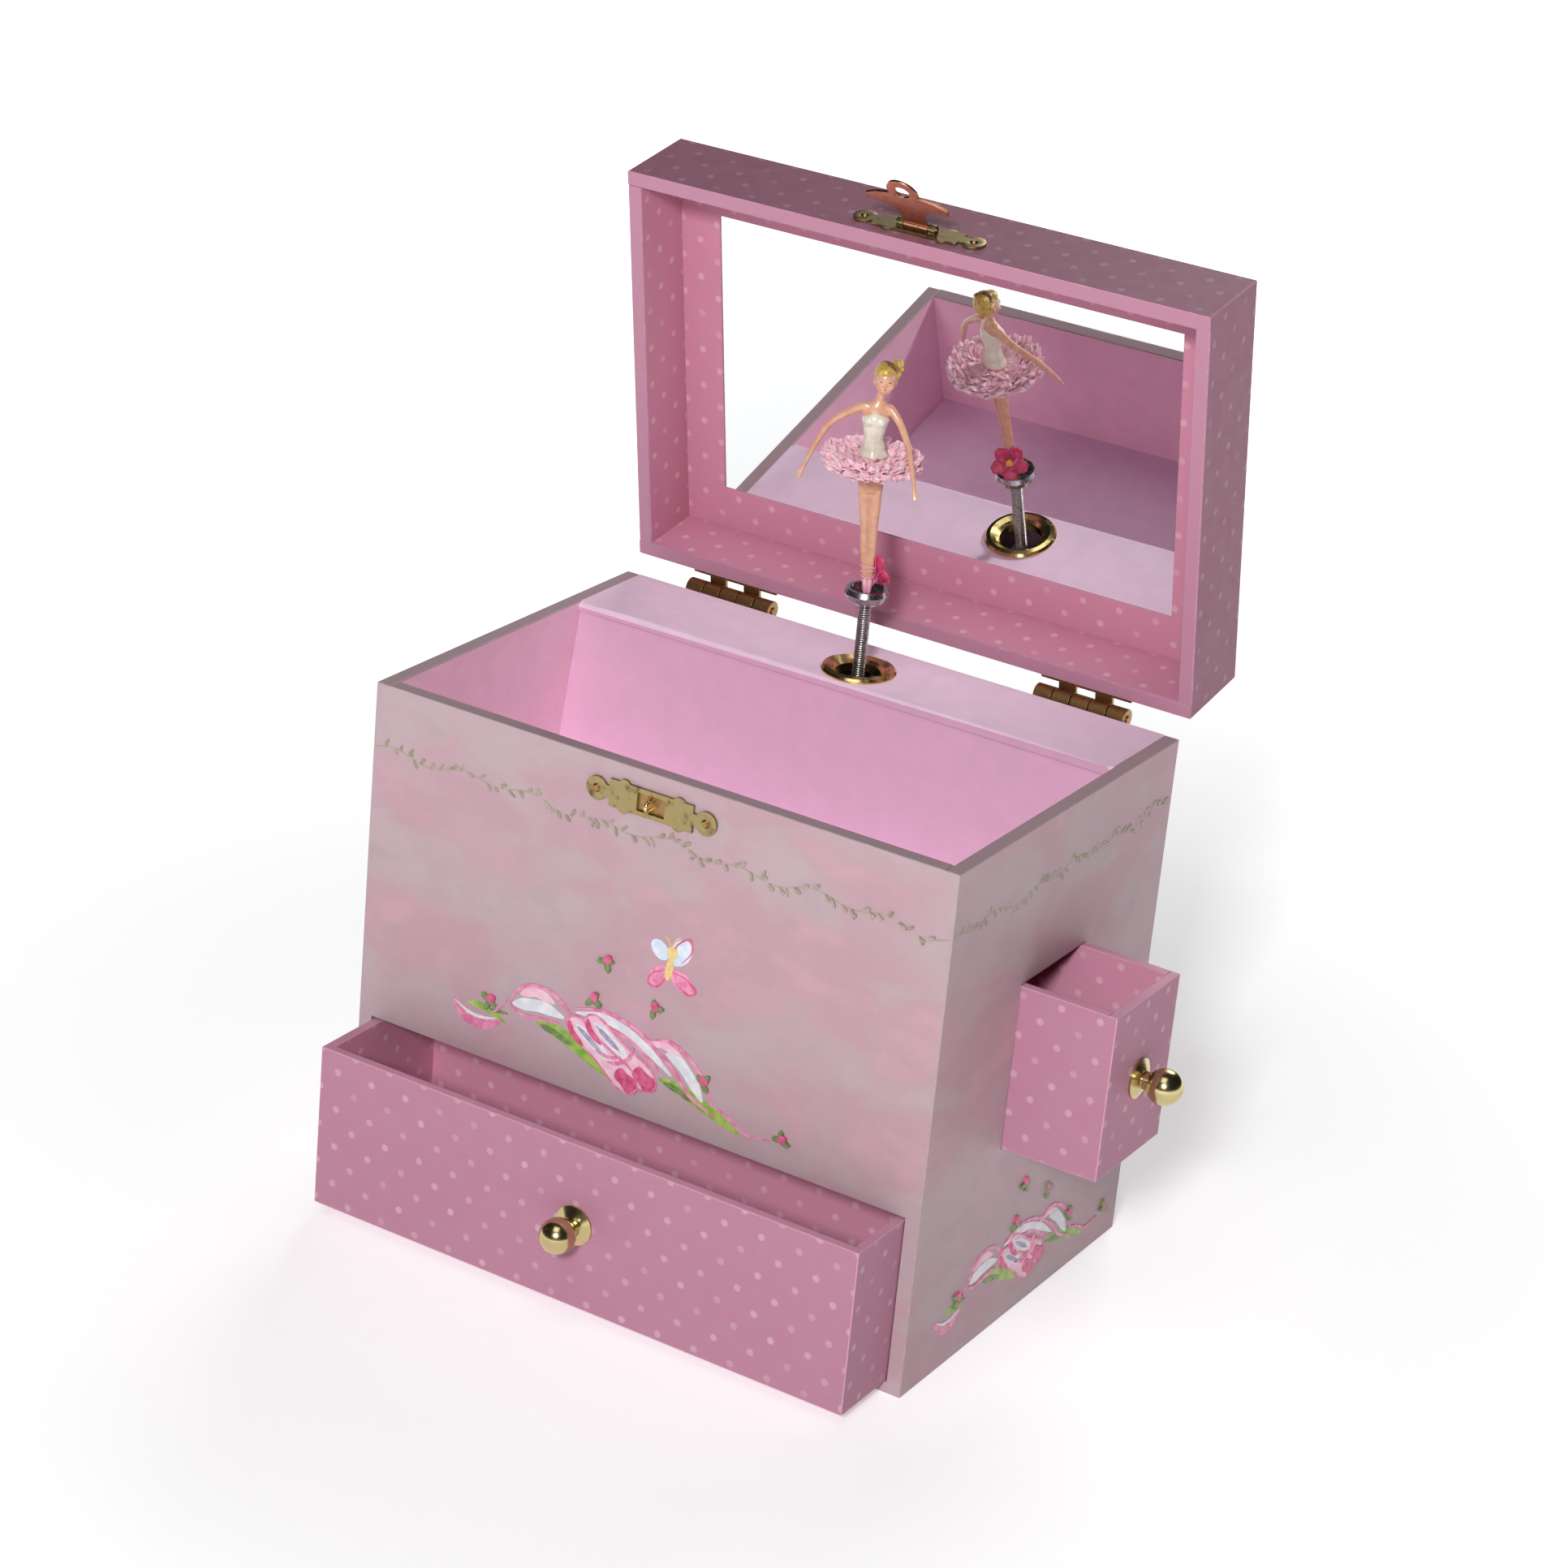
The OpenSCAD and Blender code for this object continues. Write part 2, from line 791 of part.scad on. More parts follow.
module winding_key() {
  hub_low = half_d + 0.4;
  color("#c9c6c0")
    difference() {
      union() {
        rod_y(0, [hub_low, hub_low + 7], wheel_z, 3);
        translate([0, 0, wheel_z]) {
          span([-4, 4], [hub_low + 5, hub_low + 12], [-0.8, 0.8]);
          for (s = [-1, 1])
            rod_z(s * 6.5, hub_low + 11, [-0.8, 0.8], 5.5);
        }
      }
      rod_y(0, [hub_low - 1, half_d + 6], wheel_z, arbor_r);
      for (s = [-1, 1])
        rod_z(s * 6.5, hub_low + 11, [wheel_z - 2, wheel_z + 2], 2.4);
    }
}

// A crown wheel about +Z: teeth below a disc, with a tooth at +Y. Its pitch plane is z = 0.
module crown_wheel() {
  face = gear_module + 0.2;
  translate([0, 0, face]) cylinder(h = 1.8, r = crown_r + 1.3);
  for (i = [0:crown_teeth - 1])
    rotate(90 + 360 * i / crown_teeth)
      translate([crown_r, 0, 0]) rotate([90, 0, 90])
        translate([0, 0, -0.8]) linear_extrude(1.6)
          polygon([
            [-tooth_w / 2, face], [-0.3, -gear_module], [0.3, -gear_module], [tooth_w / 2, face]
          ]);
}

module drive_spindle() {
  color(steel) {
    rod_z(0, post_y, [crown_pitch_z + 0.6, spring_low - 0.3], spindle_r);
    rod_z(0, post_y, [117, 118.5], 2);
  }
}

module spindle_wheel() {
  color(bright_brass)
    translate([0, post_y, crown_pitch_z])
      difference() {
        crown_wheel();
        cylinder(h = 10, r = spindle_r, center = true);
      }
}

// Brass drum with steel pins in a rising pattern, and its arbor
module music_cylinder() {
  color("#c9a95a") {
    rod_x([cylinder_x, cylinder_x + cylinder_len], post_y, wheel_z, cylinder_r);
    rod_x([great_r + 1, small_gear_x + 4.4], post_y, wheel_z, cylinder_arbor_r);
    for (i = [0:notes - 1], j = [0:1])
      translate([cylinder_x + 0.5 + (i + 0.5) * note_pitch, post_y, wheel_z])
        rotate([97 + i * 137.5 + j * 160, 0, 0])
          cylinder(h = cylinder_r + pin_out, r = 0.25);
  }
}

// Crown wheel and small gear at the two ends of the cylinder's arbor
module cylinder_wheel() {
  color(bright_brass)
    difference() {
      union() {
        translate([great_r, post_y, wheel_z]) rotate([0, 90, 0]) crown_wheel();
        translate([small_gear_x, post_y, wheel_z]) rotate([90, 0, 90]) linear_extrude(2)
          rotate(90) spur_outline(cylinder_gear_teeth, small_module);
      }
      rod_x([great_r - 2, small_gear_x + 6], post_y, wheel_z, cylinder_arbor_r);
    }
}

module governor_pinion() {
  color(steel) {
    translate([small_gear_x, post_y, pinion_z]) rotate([90, 0, 90]) linear_extrude(2)
      rotate(-90) rotate(180 / pinion_teeth) spur_outline(pinion_teeth, small_module);
    rod_x([small_gear_x, fan_x - 1.2], post_y, pinion_z, 0.6);
  }
}

module governor_fan() {
  color(bright_brass)
    translate([fan_x, fan_y, 0]) {
      rod_z(0, 0, [108.2, 119], 0.5);
      span([-4.6, 4.6], [-0.25, 0.25], [113.5, 118.5]);
    }
}

// Ballerina on her post

module spring_post() {
  color(steel)
    difference() {
      rod_z(0, post_y, [spring_low, spring_top], spring_r);
      rod_z(0, post_y, [spring_low - 1, spring_top + 1], 1.1);
    }
}

module post_cup() {
  color("#8d8a93")
    translate([0, post_y, cup_low])
      difference() {
        union() {
          cylinder(h = 1.2, r1 = 2.6, r2 = 4.6);
          translate([0, 0, 1.2]) cylinder(h = 1.8, r1 = 4.6, r2 = 5.5);
          translate([0, 0, 3]) cylinder(h = cup_h - 3, r1 = 5.5, r2 = 5);
          translate([0, 0, -3.2]) cylinder(h = 3.5, r = 1.03);
        }
        translate([0, 0, 2.6]) cylinder(h = 3, r1 = 3.4, r2 = 4.8);
      }
}

// Directions in the ballerina's own frame: -Y is the way she faces
module ballerina_frame() {
  translate([0, post_y, 0]) rotate(facing) children();
}

module ankle_flower() {
  color("#c4304e")
    ballerina_frame()
      translate([2.2, 2.2, cup_low + cup_h + 3.2]) rotate([-65, 0, 30]) {
        cylinder(h = 2, r = 1.3);
        for (a = [0:72:288])
          rotate(a) translate([2.1, 0, 0]) cylinder(h = 1, r = 1.5);
      }
}

module ballerina() {
  color(skin)
    ballerina_frame() {
      for (s = [-1, 1]) {
        limb([s * 0.35, 0.1, toe_z + 0.5], [s * 0.8 - 0.9, 0.6, 168], 0.5, 1.2);
        limb([s * 0.8 - 0.9, 0.6, 168], [s * 1.4 - 1.6, 1.6, hip_z], 1.2, 1.8);
      }
      limb([-1.7, 1.8, hip_z + 1], [-2, 2.1, 190], 3, 2);
      limb([-2, 2.1, 190], [-2, 2.2, 197.5], 2, 2.8);
      limb([-4.4, 2.4, 200.4], [0.6, 2.2, 200.4], 1.3, 1.3);
      limb([-1.8, 2.4, 200.5], [-0.9, 2.8, 205], 1.2, 1.1);
      translate([-0.6, 3, 208]) sphere(r = 3.6, $fn = 24);
      translate([2, 4.8, 210.2]) sphere(r = 1.9, $fn = 16);
      limb([-5, 2.4, 200.5], [-12.8, 3.4, 195.3], 1.2, 0.9);
      limb([-12.8, 3.4, 195.3], [-18.6, 1.8, 183], 0.9, 0.5);
      limb([1.4, 2.2, 200.4], [5.8, -2.6, 194], 1.2, 0.9);
      limb([5.8, -2.6, 194], [8.6, -10.2, 184.5], 0.9, 0.5);
    }
}

// Solid that the frilled net skirt fills
module tutu() {
  color("#eba7c3")
    ballerina_frame()
      translate([-1.9, 2, 0])
        difference() {
          union() {
            translate([0, 0, 182.2]) cylinder(h = 4, r1 = tutu_d / 2 - 2, r2 = tutu_d / 2);
            translate([0, 0, 186.2]) cylinder(h = 2.4, r1 = tutu_d / 2, r2 = 5);
          }
          translate([0, 0, 181]) cylinder(h = 9, r = 2.4);
        }
}

base_panel();
left_panel();
right_panel();
back_panel();
front_panel();
drawer_deck();
compartment_floor();
ledge_riser();
ledge_top();
drawer_pocket();
lock_plate();
lock_staple();
brass_ring();
case_hinge_leaves();
hinge_pins();
case_fitting_pins();
bedplate();
movement_screws();
spring_housing();
mainspring();
tone_comb();
spindle_bracket();
governor_housing();
winding_arbor();
great_wheel();
winding_key();
drive_spindle();
spindle_wheel();
music_cylinder();
cylinder_wheel();
governor_pinion();
governor_fan();
lid_top_panel();
lid_front_wall();
lid_back_wall();
lid_end_walls();
mirror_border();
mirror();
hasp_base();
hasp_pin();
lid_hinge_leaves();
lid_fitting_pins();
hasp();
front_drawer_face();
front_drawer_back();
front_drawer_sides();
front_drawer_bottom();
front_drawer_knob();
front_knob_screw();
side_drawer_face();
side_drawer_back();
side_drawer_sides();
side_drawer_bottom();
side_drawer_knob();
side_knob_screw();
spring_post();
post_cup();
ankle_flower();
ballerina();
tutu();
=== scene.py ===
"""Looks of a ballerina jewellery box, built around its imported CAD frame.

Helpers take millimetres and make metres of them. +Z is up, -Y the front, +X the small drawer's side.
"""

import json
import random
from math import cos, pi, radians, sin, sqrt

import bmesh
import bpy
from mathutils import Matrix, Vector, noise


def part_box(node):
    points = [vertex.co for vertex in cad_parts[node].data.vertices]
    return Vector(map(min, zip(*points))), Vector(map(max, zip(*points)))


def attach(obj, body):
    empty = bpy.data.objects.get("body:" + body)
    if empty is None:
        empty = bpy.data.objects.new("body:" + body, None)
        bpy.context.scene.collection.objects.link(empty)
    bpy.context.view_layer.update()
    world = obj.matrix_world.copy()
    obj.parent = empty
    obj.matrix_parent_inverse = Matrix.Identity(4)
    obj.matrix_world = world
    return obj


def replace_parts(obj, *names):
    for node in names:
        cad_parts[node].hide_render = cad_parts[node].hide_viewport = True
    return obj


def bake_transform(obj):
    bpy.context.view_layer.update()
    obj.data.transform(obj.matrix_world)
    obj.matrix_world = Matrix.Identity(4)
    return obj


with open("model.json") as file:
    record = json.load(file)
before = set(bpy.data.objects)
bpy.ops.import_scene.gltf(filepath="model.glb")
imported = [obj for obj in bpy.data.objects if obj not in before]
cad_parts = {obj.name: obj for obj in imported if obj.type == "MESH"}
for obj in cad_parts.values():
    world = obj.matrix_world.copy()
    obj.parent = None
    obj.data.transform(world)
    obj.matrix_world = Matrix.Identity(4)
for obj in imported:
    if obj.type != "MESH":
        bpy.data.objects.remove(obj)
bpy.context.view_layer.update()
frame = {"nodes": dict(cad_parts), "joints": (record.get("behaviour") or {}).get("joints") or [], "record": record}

MM = 0.001
nodes = frame["nodes"]
scene = bpy.context.scene
joints = {j["name"]: j for j in frame["joints"]}

# ---- places taken from the frame


def box_mm(node):
    """Lowest and highest corner of a CAD node, in millimetres."""
    low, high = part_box(node)
    return low / MM, high / MM


front_y = box_mm("front_panel")[0].y
left_x = box_mm("left_panel")[0].x
right_x = box_mm("right_panel")[1].x
back_y = box_mm("back_panel")[1].y
rim_z = box_mm("left_panel")[1].z
floor_z = box_mm("compartment_floor")[1].z
ledge_y = box_mm("ledge_top")[0].y
post_low, post_high = box_mm("spring_post")
post_x = (post_low.x + post_high.x) / 2
post_y = (post_low.y + post_high.y) / 2
lid_pivot = Vector(joints["lid_hinge"]["pos_m"])
lid_angle = radians(joints["lid_hinge"]["range_deg"][1])
LID_NODES = frame["record"]["behaviour"]["bodies"]["lid"]
FACING = radians(30)  # the ballerina's turn from the front towards the right
DOLL = Matrix.Scale(MM, 4) @ Matrix.Translation((post_x, post_y, 0)) @ Matrix.Rotation(FACING, 4, "Z")


def turned(angle, axis):
    return Matrix.Rotation(angle, 3, axis)


def around(count):
    """The angles of count even steps round a circle."""
    return [2 * pi * k / count for k in range(count)]


def lid_shut(point):
    """Where a point of the lid, in metres, lies when the lid is shut."""
    return turned(lid_angle, "X") @ (point - lid_pivot) + lid_pivot


def shut_heights(node):
    """Lowest and highest point, in millimetres, of a lid node when the lid is shut."""
    heights = [lid_shut(v.co).z / MM for v in nodes[node].data.vertices]
    return min(heights), max(heights)


lid_rim_z = shut_heights("lid_end_walls")[0]
lid_top_z = max(shut_heights(node)[1] for node in ("lid_end_walls", "lid_top_panel"))


# ---- material helpers


def shader_node(tree, kind, inputs, **settings):
    made = tree.nodes.new("ShaderNode" + kind)
    for key, value in settings.items():
        setattr(made, key, value)
    for key, value in inputs.items():
        if isinstance(value, bpy.types.NodeSocket):
            tree.links.new(value, made.inputs[key])
        else:
            made.inputs[key].default_value = value
    return made


class Finish:
    """A Principled material, with short calls for its nodes."""

    def __init__(self, name, colour, roughness, **values):
        self.mat = bpy.data.materials.new(name)
        self.mat.use_nodes = True
        self.tree = self.mat.node_tree
        self.bsdf = self.tree.nodes["Principled BSDF"]
        self.bsdf.inputs["Base Color"].default_value = (*colour, 1)
        self.bsdf.inputs["Roughness"].default_value = roughness
        for socket, value in values.items():
            self.bsdf.inputs[socket.replace("_", " ")].default_value = value

    def node(self, kind, inputs, **settings):
        return shader_node(self.tree, kind, inputs, **settings)

    def drive(self, socket, value):
        self.tree.links.new(value, self.bsdf.inputs[socket])

    def place(self, lid=False):
        """Millimetres that stay with the part. A lid part's are those of the shut lid."""
        at = self.node("TexCoord", {}).outputs["Object"]
        if lid:
            turn = {"Vector": at, "Center": lid_pivot, "Angle": lid_angle}
            at = self.node("VectorRotate", turn, rotation_type="X_AXIS").outputs[0]
        return self.node("VectorMath", {0: at, "Scale": 1 / MM}, operation="SCALE").outputs[0]

    def noise(self, at, size, detail=2.0, rough=0.5, distortion=0.0):
        look = {"Scale": 1 / size, "Detail": detail, "Roughness": rough, "Distortion": distortion}
        return self.node("TexNoise", {"Vector": at, **look}).outputs["Fac"]

    def remap(self, value, low, high, to_low=0.0, to_high=1.0, smooth=True):
        ends = {"Value": value, "From Min": low, "From Max": high, "To Min": to_low, "To Max": to_high}
        way = "SMOOTHSTEP" if smooth else "LINEAR"
        return self.node("MapRange", ends, interpolation_type=way).outputs["Result"]

    def mix(self, share, a, b):
        """Colour a where share is 0 and b where it is 1."""
        a, b = (c if isinstance(c, bpy.types.NodeSocket) else (*c, 1) for c in (a, b))
        return self.node("Mix", {0: share, 6: a, 7: b}, data_type="RGBA").outputs[2]

    def maths(self, operation, a, b=0.0):
        return self.node("Math", {0: a, 1: b}, operation=operation).outputs[0]

    def bump(self, height, distance, strength=1.0):
        """Raises the surface by height times distance, in millimetres."""
        made = self.node("Bump", {"Height": height, "Distance": distance * MM, "Strength": strength})
        self.drive("Normal", made.outputs[0])


# ---- paper

PINK = (0.44, 0.2, 0.285)
PINK_DOT = (0.57, 0.35, 0.43)
# The lid's outer paper is darker than the drawers': partly a darker paper, partly painted shade for the lid's
# shaded outer faces.
LID_PINK_SHADED = (0.285, 0.12, 0.172)
LID_DOT_SHADED = (0.38, 0.21, 0.27)
LID_LINING = (0.54, 0.22, 0.315)
LID_LINING_DOT = (0.64, 0.37, 0.44)
LINING = (0.74, 0.43, 0.6)
WALL = (0.96, 0.62, 0.75)
FLOOR = (0.95, 0.66, 0.88)
# The drawers' top rims: plain paper without dots, painted lighter than the face paper as painted light on their
# up-facing tops.
DRAWER_RIM_LIT = (0.6, 0.28, 0.39)
DRAWER_LINING = (0.66, 0.28, 0.4)
DRAWER_LINING_DOT = (0.76, 0.46, 0.56)
# The ledge's top is the lining paper painted paler: painted light and sheen on its up-facing face.
LEDGE_LIT = (0.9, 0.67, 0.83)
CLOUD_PINK = (0.45, 0.285, 0.325)
CLOUD_DEEP = (0.55, 0.32, 0.38)
CLOUD_PALE = (0.445, 0.337, 0.362)
CLOUD_GREY = (0.385, 0.297, 0.32)
RIM = (0.4, 0.29, 0.31)
GREYBOARD = (0.36, 0.3, 0.28)
MOTTLE = (0.42, 0.3, 0.33)
DOT_STEP = 5.05  # half the side of the square lattice's diagonal cell
DOT_R = 0.82


def paper_grain(f, at, colour):
    """Satin paper: faint mottling, fine fibres and the board's slight waves."""
    fibre = f.noise(at, 0.35, 3, 0.6)
    wave = f.noise(at, 18, 1)
    mottle = f.remap(f.noise(at, 6, 3, 0.6), 0.3, 0.7, 0, 0.1)
    f.drive("Base Color", f.mix(mottle, colour, MOTTLE))
    f.drive("Roughness", f.remap(fibre, 0.3, 0.7, 0.36, 0.5))
    f.bump(f.maths("ADD", f.maths("MULTIPLY", fibre, 0.03), wave), 0.25, 0.5)


def dotted_paper(name, across, up, base, dot, lid=False):
    """Paper with rows of pale dots, seen along the axis that across and up leave out."""
    f = Finish(name, base, 0.45, Specular_IOR_Level=0.1)
    at = f.place(lid)
    axes = f.node("SeparateXYZ", {0: at}).outputs
    u, v = axes[across], axes[up]
    cell = 2 * DOT_STEP
    a, b = (f.maths("ADD", f.maths("DIVIDE", f.maths(way, u, v), cell), 0.5) for way in ("ADD", "SUBTRACT"))
    da, db = (f.maths("SUBTRACT", f.maths("FRACT", x), 0.5) for x in (a, b))
    offset = f.node("CombineXYZ", {0: da, 1: db}).outputs[0]
    length = f.node("VectorMath", {0: offset}, operation="LENGTH").outputs["Value"]
    distance = f.maths("MULTIPLY", length, cell / sqrt(2))
    edge = f.maths("ADD", distance, f.maths("MULTIPLY", f.noise(at, 0.7, 1), 0.25))
    inside = f.remap(edge, DOT_R - 0.05, DOT_R + 0.45, 1, 0)
    cell_id = f.node("CombineXYZ", {i: f.maths("FLOOR", x) for i, x in enumerate((a, b))}).outputs[0]
    faded = f.remap(f.node("TexWhiteNoise", {"Vector": cell_id}).outputs["Value"], 0, 1, 0.45, 1, False)
    paper_grain(f, at, f.mix(f.maths("MULTIPLY", inside, faded), base, dot))
    return f.mat


def cloud_paper(name):
    """Watercolour clouds of pale pink on grey-white."""
    f = Finish(name, CLOUD_PALE, 0.42, Specular_IOR_Level=0.2)
    at = f.place()
    flat = f.node("Mapping", {"Vector": at, "Scale": (1, 1, 1.7)}).outputs[0]
    big = f.noise(flat, 34, 4, 0.55, 0.3)
    patch = f.noise(flat, 15, 4, 0.6, 0.2)
    z = f.node("SeparateXYZ", {0: at}).outputs[2]
    middle = f.maths("MULTIPLY", f.remap(z, 40, 75), f.remap(z, 122, 95))
    pink = f.remap(f.maths("ADD", big, f.maths("MULTIPLY", middle, 0.09)), 0.43, 0.63)
    shade = f.remap(patch, 0.46, 0.7, 0, 0.6)
    pale = f.mix(shade, CLOUD_PALE, CLOUD_GREY)
    paper_grain(f, at, f.mix(pink, pale, f.mix(shade, CLOUD_PINK, CLOUD_DEEP)))
    return f.mat


def plain_paper(name, colour, lid=False, bare_foot=False):
    """One colour of paper, with bare greyboard below the compartment's floor if it has a bare foot."""
    f = Finish(name, colour, 0.42, Specular_IOR_Level=0.3)
    at = f.place(lid)
    if bare_foot:
        z = f.node("SeparateXYZ", {0: at}).outputs[2]
        colour = f.mix(f.remap(z, floor_z - 1.5, floor_z - 1.4), GREYBOARD, colour)
    paper_grain(f, at, colour)
    return f.mat


def worn_edge(name, colour, lid=False):
    """Folded edge of the wrapped paper, rubbed paler in places."""
    f = Finish(name, colour, 0.5, Specular_IOR_Level=0.3)
    at = f.place(lid)
    rubbed = f.remap(f.noise(at, 2.5, 4, 0.7), 0.45, 0.75, 0, 0.6)
    f.drive("Base Color", f.mix(rubbed, colour, [0.7 * c + 0.20 for c in colour]))
    f.bump(f.noise(at, 0.4, 2), 0.02, 0.5)
    return f.mat


def dotted_papers(name, *look):
    """One dotted paper for the faces across each axis."""
    planes = {"x": (1, 2), "y": (0, 2), "z": (0, 1)}
    return {k: dotted_paper(f"{name}_{k}", *plane, *look) for k, plane in planes.items()}


dotted = dotted_papers("dotted_paper", PINK, PINK_DOT)
drawer_inside = dotted_papers("drawer_lining", DRAWER_LINING, DRAWER_LINING_DOT)
lid_inside = dotted_papers("lid_lining", LID_LINING, LID_LINING_DOT, True)
# painted shade: the darker dotted paper of the lid's outer faces
shaded_lid_outside = dotted_papers("lid_paper", LID_PINK_SHADED, LID_DOT_SHADED, True)
cloud = cloud_paper("cloud_paper")
lining = plain_paper("lining_paper", LINING)
floor_paper = plain_paper("floor_paper", FLOOR)
ledge_paper = plain_paper("ledge_paper", LEDGE_LIT)
rim_paper = plain_paper("rim_paper", RIM)
greyboard = plain_paper("greyboard", GREYBOARD)
inner_wall = plain_paper("inner_wall_paper", WALL, bare_foot=True)
lid_rim = plain_paper("lid_rim_paper", PINK, True)
# painted light: lighter paper for the drawers' up-facing rims
lit_drawer_rim = plain_paper("drawer_rim_paper", DRAWER_RIM_LIT)
# the drawers' rounded edges start from the rims' lighter tone, painted light
pink_edge = worn_edge("pink_edge", DRAWER_RIM_LIT)
lid_edge = worn_edge("lid_edge", PINK, True)
cloud_edge = worn_edge("cloud_edge", RIM)


def axis_of(normal):
    return "xyz"[max(range(3), key=lambda i: abs(normal[i]))]


def soften(obj, width, edge_paper=None, share=None):
    """Rounds a CAD node's sharp edges with modifiers, or each edge by its share of the width."""
    weld = obj.modifiers.new("weld", "WELD")
    weld.merge_threshold = 1e-6
    bevel = obj.modifiers.new("edge", "BEVEL")
    bevel.width = width * MM
    bevel.segments = 3
    bevel.limit_method = "WEIGHT" if share else "ANGLE"
    bevel.angle_limit = radians(40)
    if share:
        mesh = obj.data
        place = lid_shut if obj.name in LID_NODES else Vector
        weights = mesh.attributes.new("bevel_weight_edge", "FLOAT", "EDGE")
        for edge in mesh.edges:
            weights.data[edge.index].value = share(*(place(mesh.vertices[i].co) / MM for i in edge.vertices))
    if edge_paper is not None:
        obj.data.materials.append(edge_paper)
        bevel.material = len(obj.data.materials) - 1


def outer_edges(low, high, rim):
    """Share rule: the edges of the whole box from low to high, and the long edges of its rim."""
    def share(a, b):
        middle = (a + b) / 2
        straight = sum(abs(a[k] - b[k]) > 0.05 for k in range(3)) == 1
        sides = sum(abs(middle[k] - side[k]) < 0.1 for k in range(3) for side in (low, high))
        return float(straight and (sides > 1 or (abs(middle.z - rim) < 0.1 and (a - b).length > 10)))
    return share


def folded_nose(a, b):
    """Share rule: only the upper front edge of the ledge."""
    return float(all(p.z > rim_z - 0.1 and p.y < ledge_y + 0.1 for p in (a, b)))


def drop_custom_normals(mesh):
    custom = mesh.attributes.get("custom_normal")
    if custom:
        mesh.attributes.remove(custom)


def cover(node, choose, edge_paper, width=0.3, share=None):
    """Papers a board: choose(centre, normal) names each face's material, in mm and with the lid shut."""
    mesh = nodes[node].data
    drop_custom_normals(mesh)
    mesh.shade_flat()
    mesh.materials.clear()
    for face in mesh.polygons:
        centre, normal = face.center.copy(), face.normal.copy()
        if node in LID_NODES:
            normal = turned(lid_angle, "X") @ normal
            centre = lid_shut(centre)
        mat = choose(centre / MM, normal)
        if mat.name not in mesh.materials:
            mesh.materials.append(mat)
        face.material_index = mesh.materials.find(mat.name)
    soften(nodes[node], width, edge_paper, share)


def case_board(inward):
    """Paper rule of a case board whose inner side faces along inward."""
    def choose(centre, normal):
        if normal.z > 0.9 and centre.z > rim_z - 1:
            return rim_paper
        return inner_wall if normal.dot(inward) > 0.9 else cloud
    return choose


def one_paper(mat):
    return lambda centre, normal: mat


def two_papers(side, on_it, elsewhere):
    """Paper rule of a board with one paper on its faces towards one side."""
    return lambda centre, normal: on_it if normal.dot(Vector(side)) > 0.9 else elsewhere


def lid_board(centre, normal):
    """Paper rule of the lid's boards."""
    k = axis_of(normal)
    outer = {"x": abs(centre.x) > right_x - 0.1, "z": normal.z > 0,
             "y": centre.y < front_y + 0.1 or centre.y > back_y - 0.1}[k]
    if normal.z < -0.9 and centre.z < rim_z + 2:
        return lid_rim
    # outer faces take the darker paper with its painted shade
    return shaded_lid_outside[k] if outer else lid_inside[k]


def drawer_board(middle):
    """Paper rule of a drawer's boards: lining on the faces that look at its middle."""
    def choose(centre, normal):
        k = axis_of(normal)
        # up-facing rims take the lighter paper, painted light
        if normal.z > 0.9 and centre.z > middle.z:
            return lit_drawer_rim
        return (drawer_inside if (middle - centre).dot(normal) > 0 else dotted)[k]
    return choose


def paper_the_boards():
    case_edges = outer_edges((left_x, front_y, 0), (right_x, back_y, rim_z), rim_z)
    lid_edges = outer_edges((left_x, front_y, rim_z), (right_x, back_y, lid_top_z), lid_rim_z)
    for node, inward in (("left_panel", (1, 0, 0)), ("right_panel", (-1, 0, 0)), ("front_panel", (0, 1, 0))):
        cover(node, case_board(Vector(inward)), cloud_edge, 0.3, case_edges)
    for node, inward in (("back_panel", (0, -1, 0)), ("base_panel", (0, 0, 1))):
        cover(node, two_papers(inward, greyboard, cloud), cloud_edge, 0.3, case_edges)
    for node in ("drawer_deck", "drawer_pocket"):
        cover(node, one_paper(greyboard), greyboard)
    cover("compartment_floor", one_paper(floor_paper), floor_paper, 0.2)
    cover("ledge_riser", one_paper(lining), lining, 0.2)
    # the ledge's front takes the lining, its top the paler copy with painted light
    cover("ledge_top", two_papers((0, -1, 0), lining, ledge_paper), ledge_paper, 1.3, folded_nose)
    for node in ("lid_top_panel", "lid_front_wall", "lid_back_wall", "lid_end_walls"):
        cover(node, lid_board, lid_edge, 0.35, lid_edges)
    cover("mirror_border", one_paper(lid_inside["z"]), lid_edge, 0.1)
    for drawer in ("front_drawer", "side_drawer"):
        parts = [f"{drawer}_{part}" for part in ("face", "back", "sides", "bottom")]
        lows, highs = zip(*(box_mm(part) for part in parts))
        low, high = Vector(map(min, *lows)), Vector(map(max, *highs))
        for part in parts:
            cover(part, drawer_board((low + high) / 2), pink_edge, 0.25, outer_edges(low, high, high.z))


# ---- metal, glass and plastic


def brass(name, colour, dark, roughness, tarnish):
    """Brass with darker, rougher tarnish in patches and fine scratches."""
    f = Finish(name, colour, roughness, Metallic=1.0)
    at = f.place()
    patch = f.remap(f.noise(at, 2.6, 2, 0.55), 0.62 - tarnish * 0.2, 0.8)
    f.drive("Base Color", f.mix(f.maths("MULTIPLY", patch, min(1, 0.4 + tarnish)), colour, dark))
    fine = f.noise(f.node("Mapping", {"Vector": at, "Scale": (1, 1, 9)}).outputs[0], 0.5, 2)
    rough = f.maths("ADD", f.remap(fine, 0.3, 0.7, -0.04, 0.05), f.maths("MULTIPLY", patch, 0.22))
    f.drive("Roughness", f.maths("ADD", rough, roughness))
    f.bump(f.noise(at, 0.8, 3), 0.02, 0.35)
    return f.mat


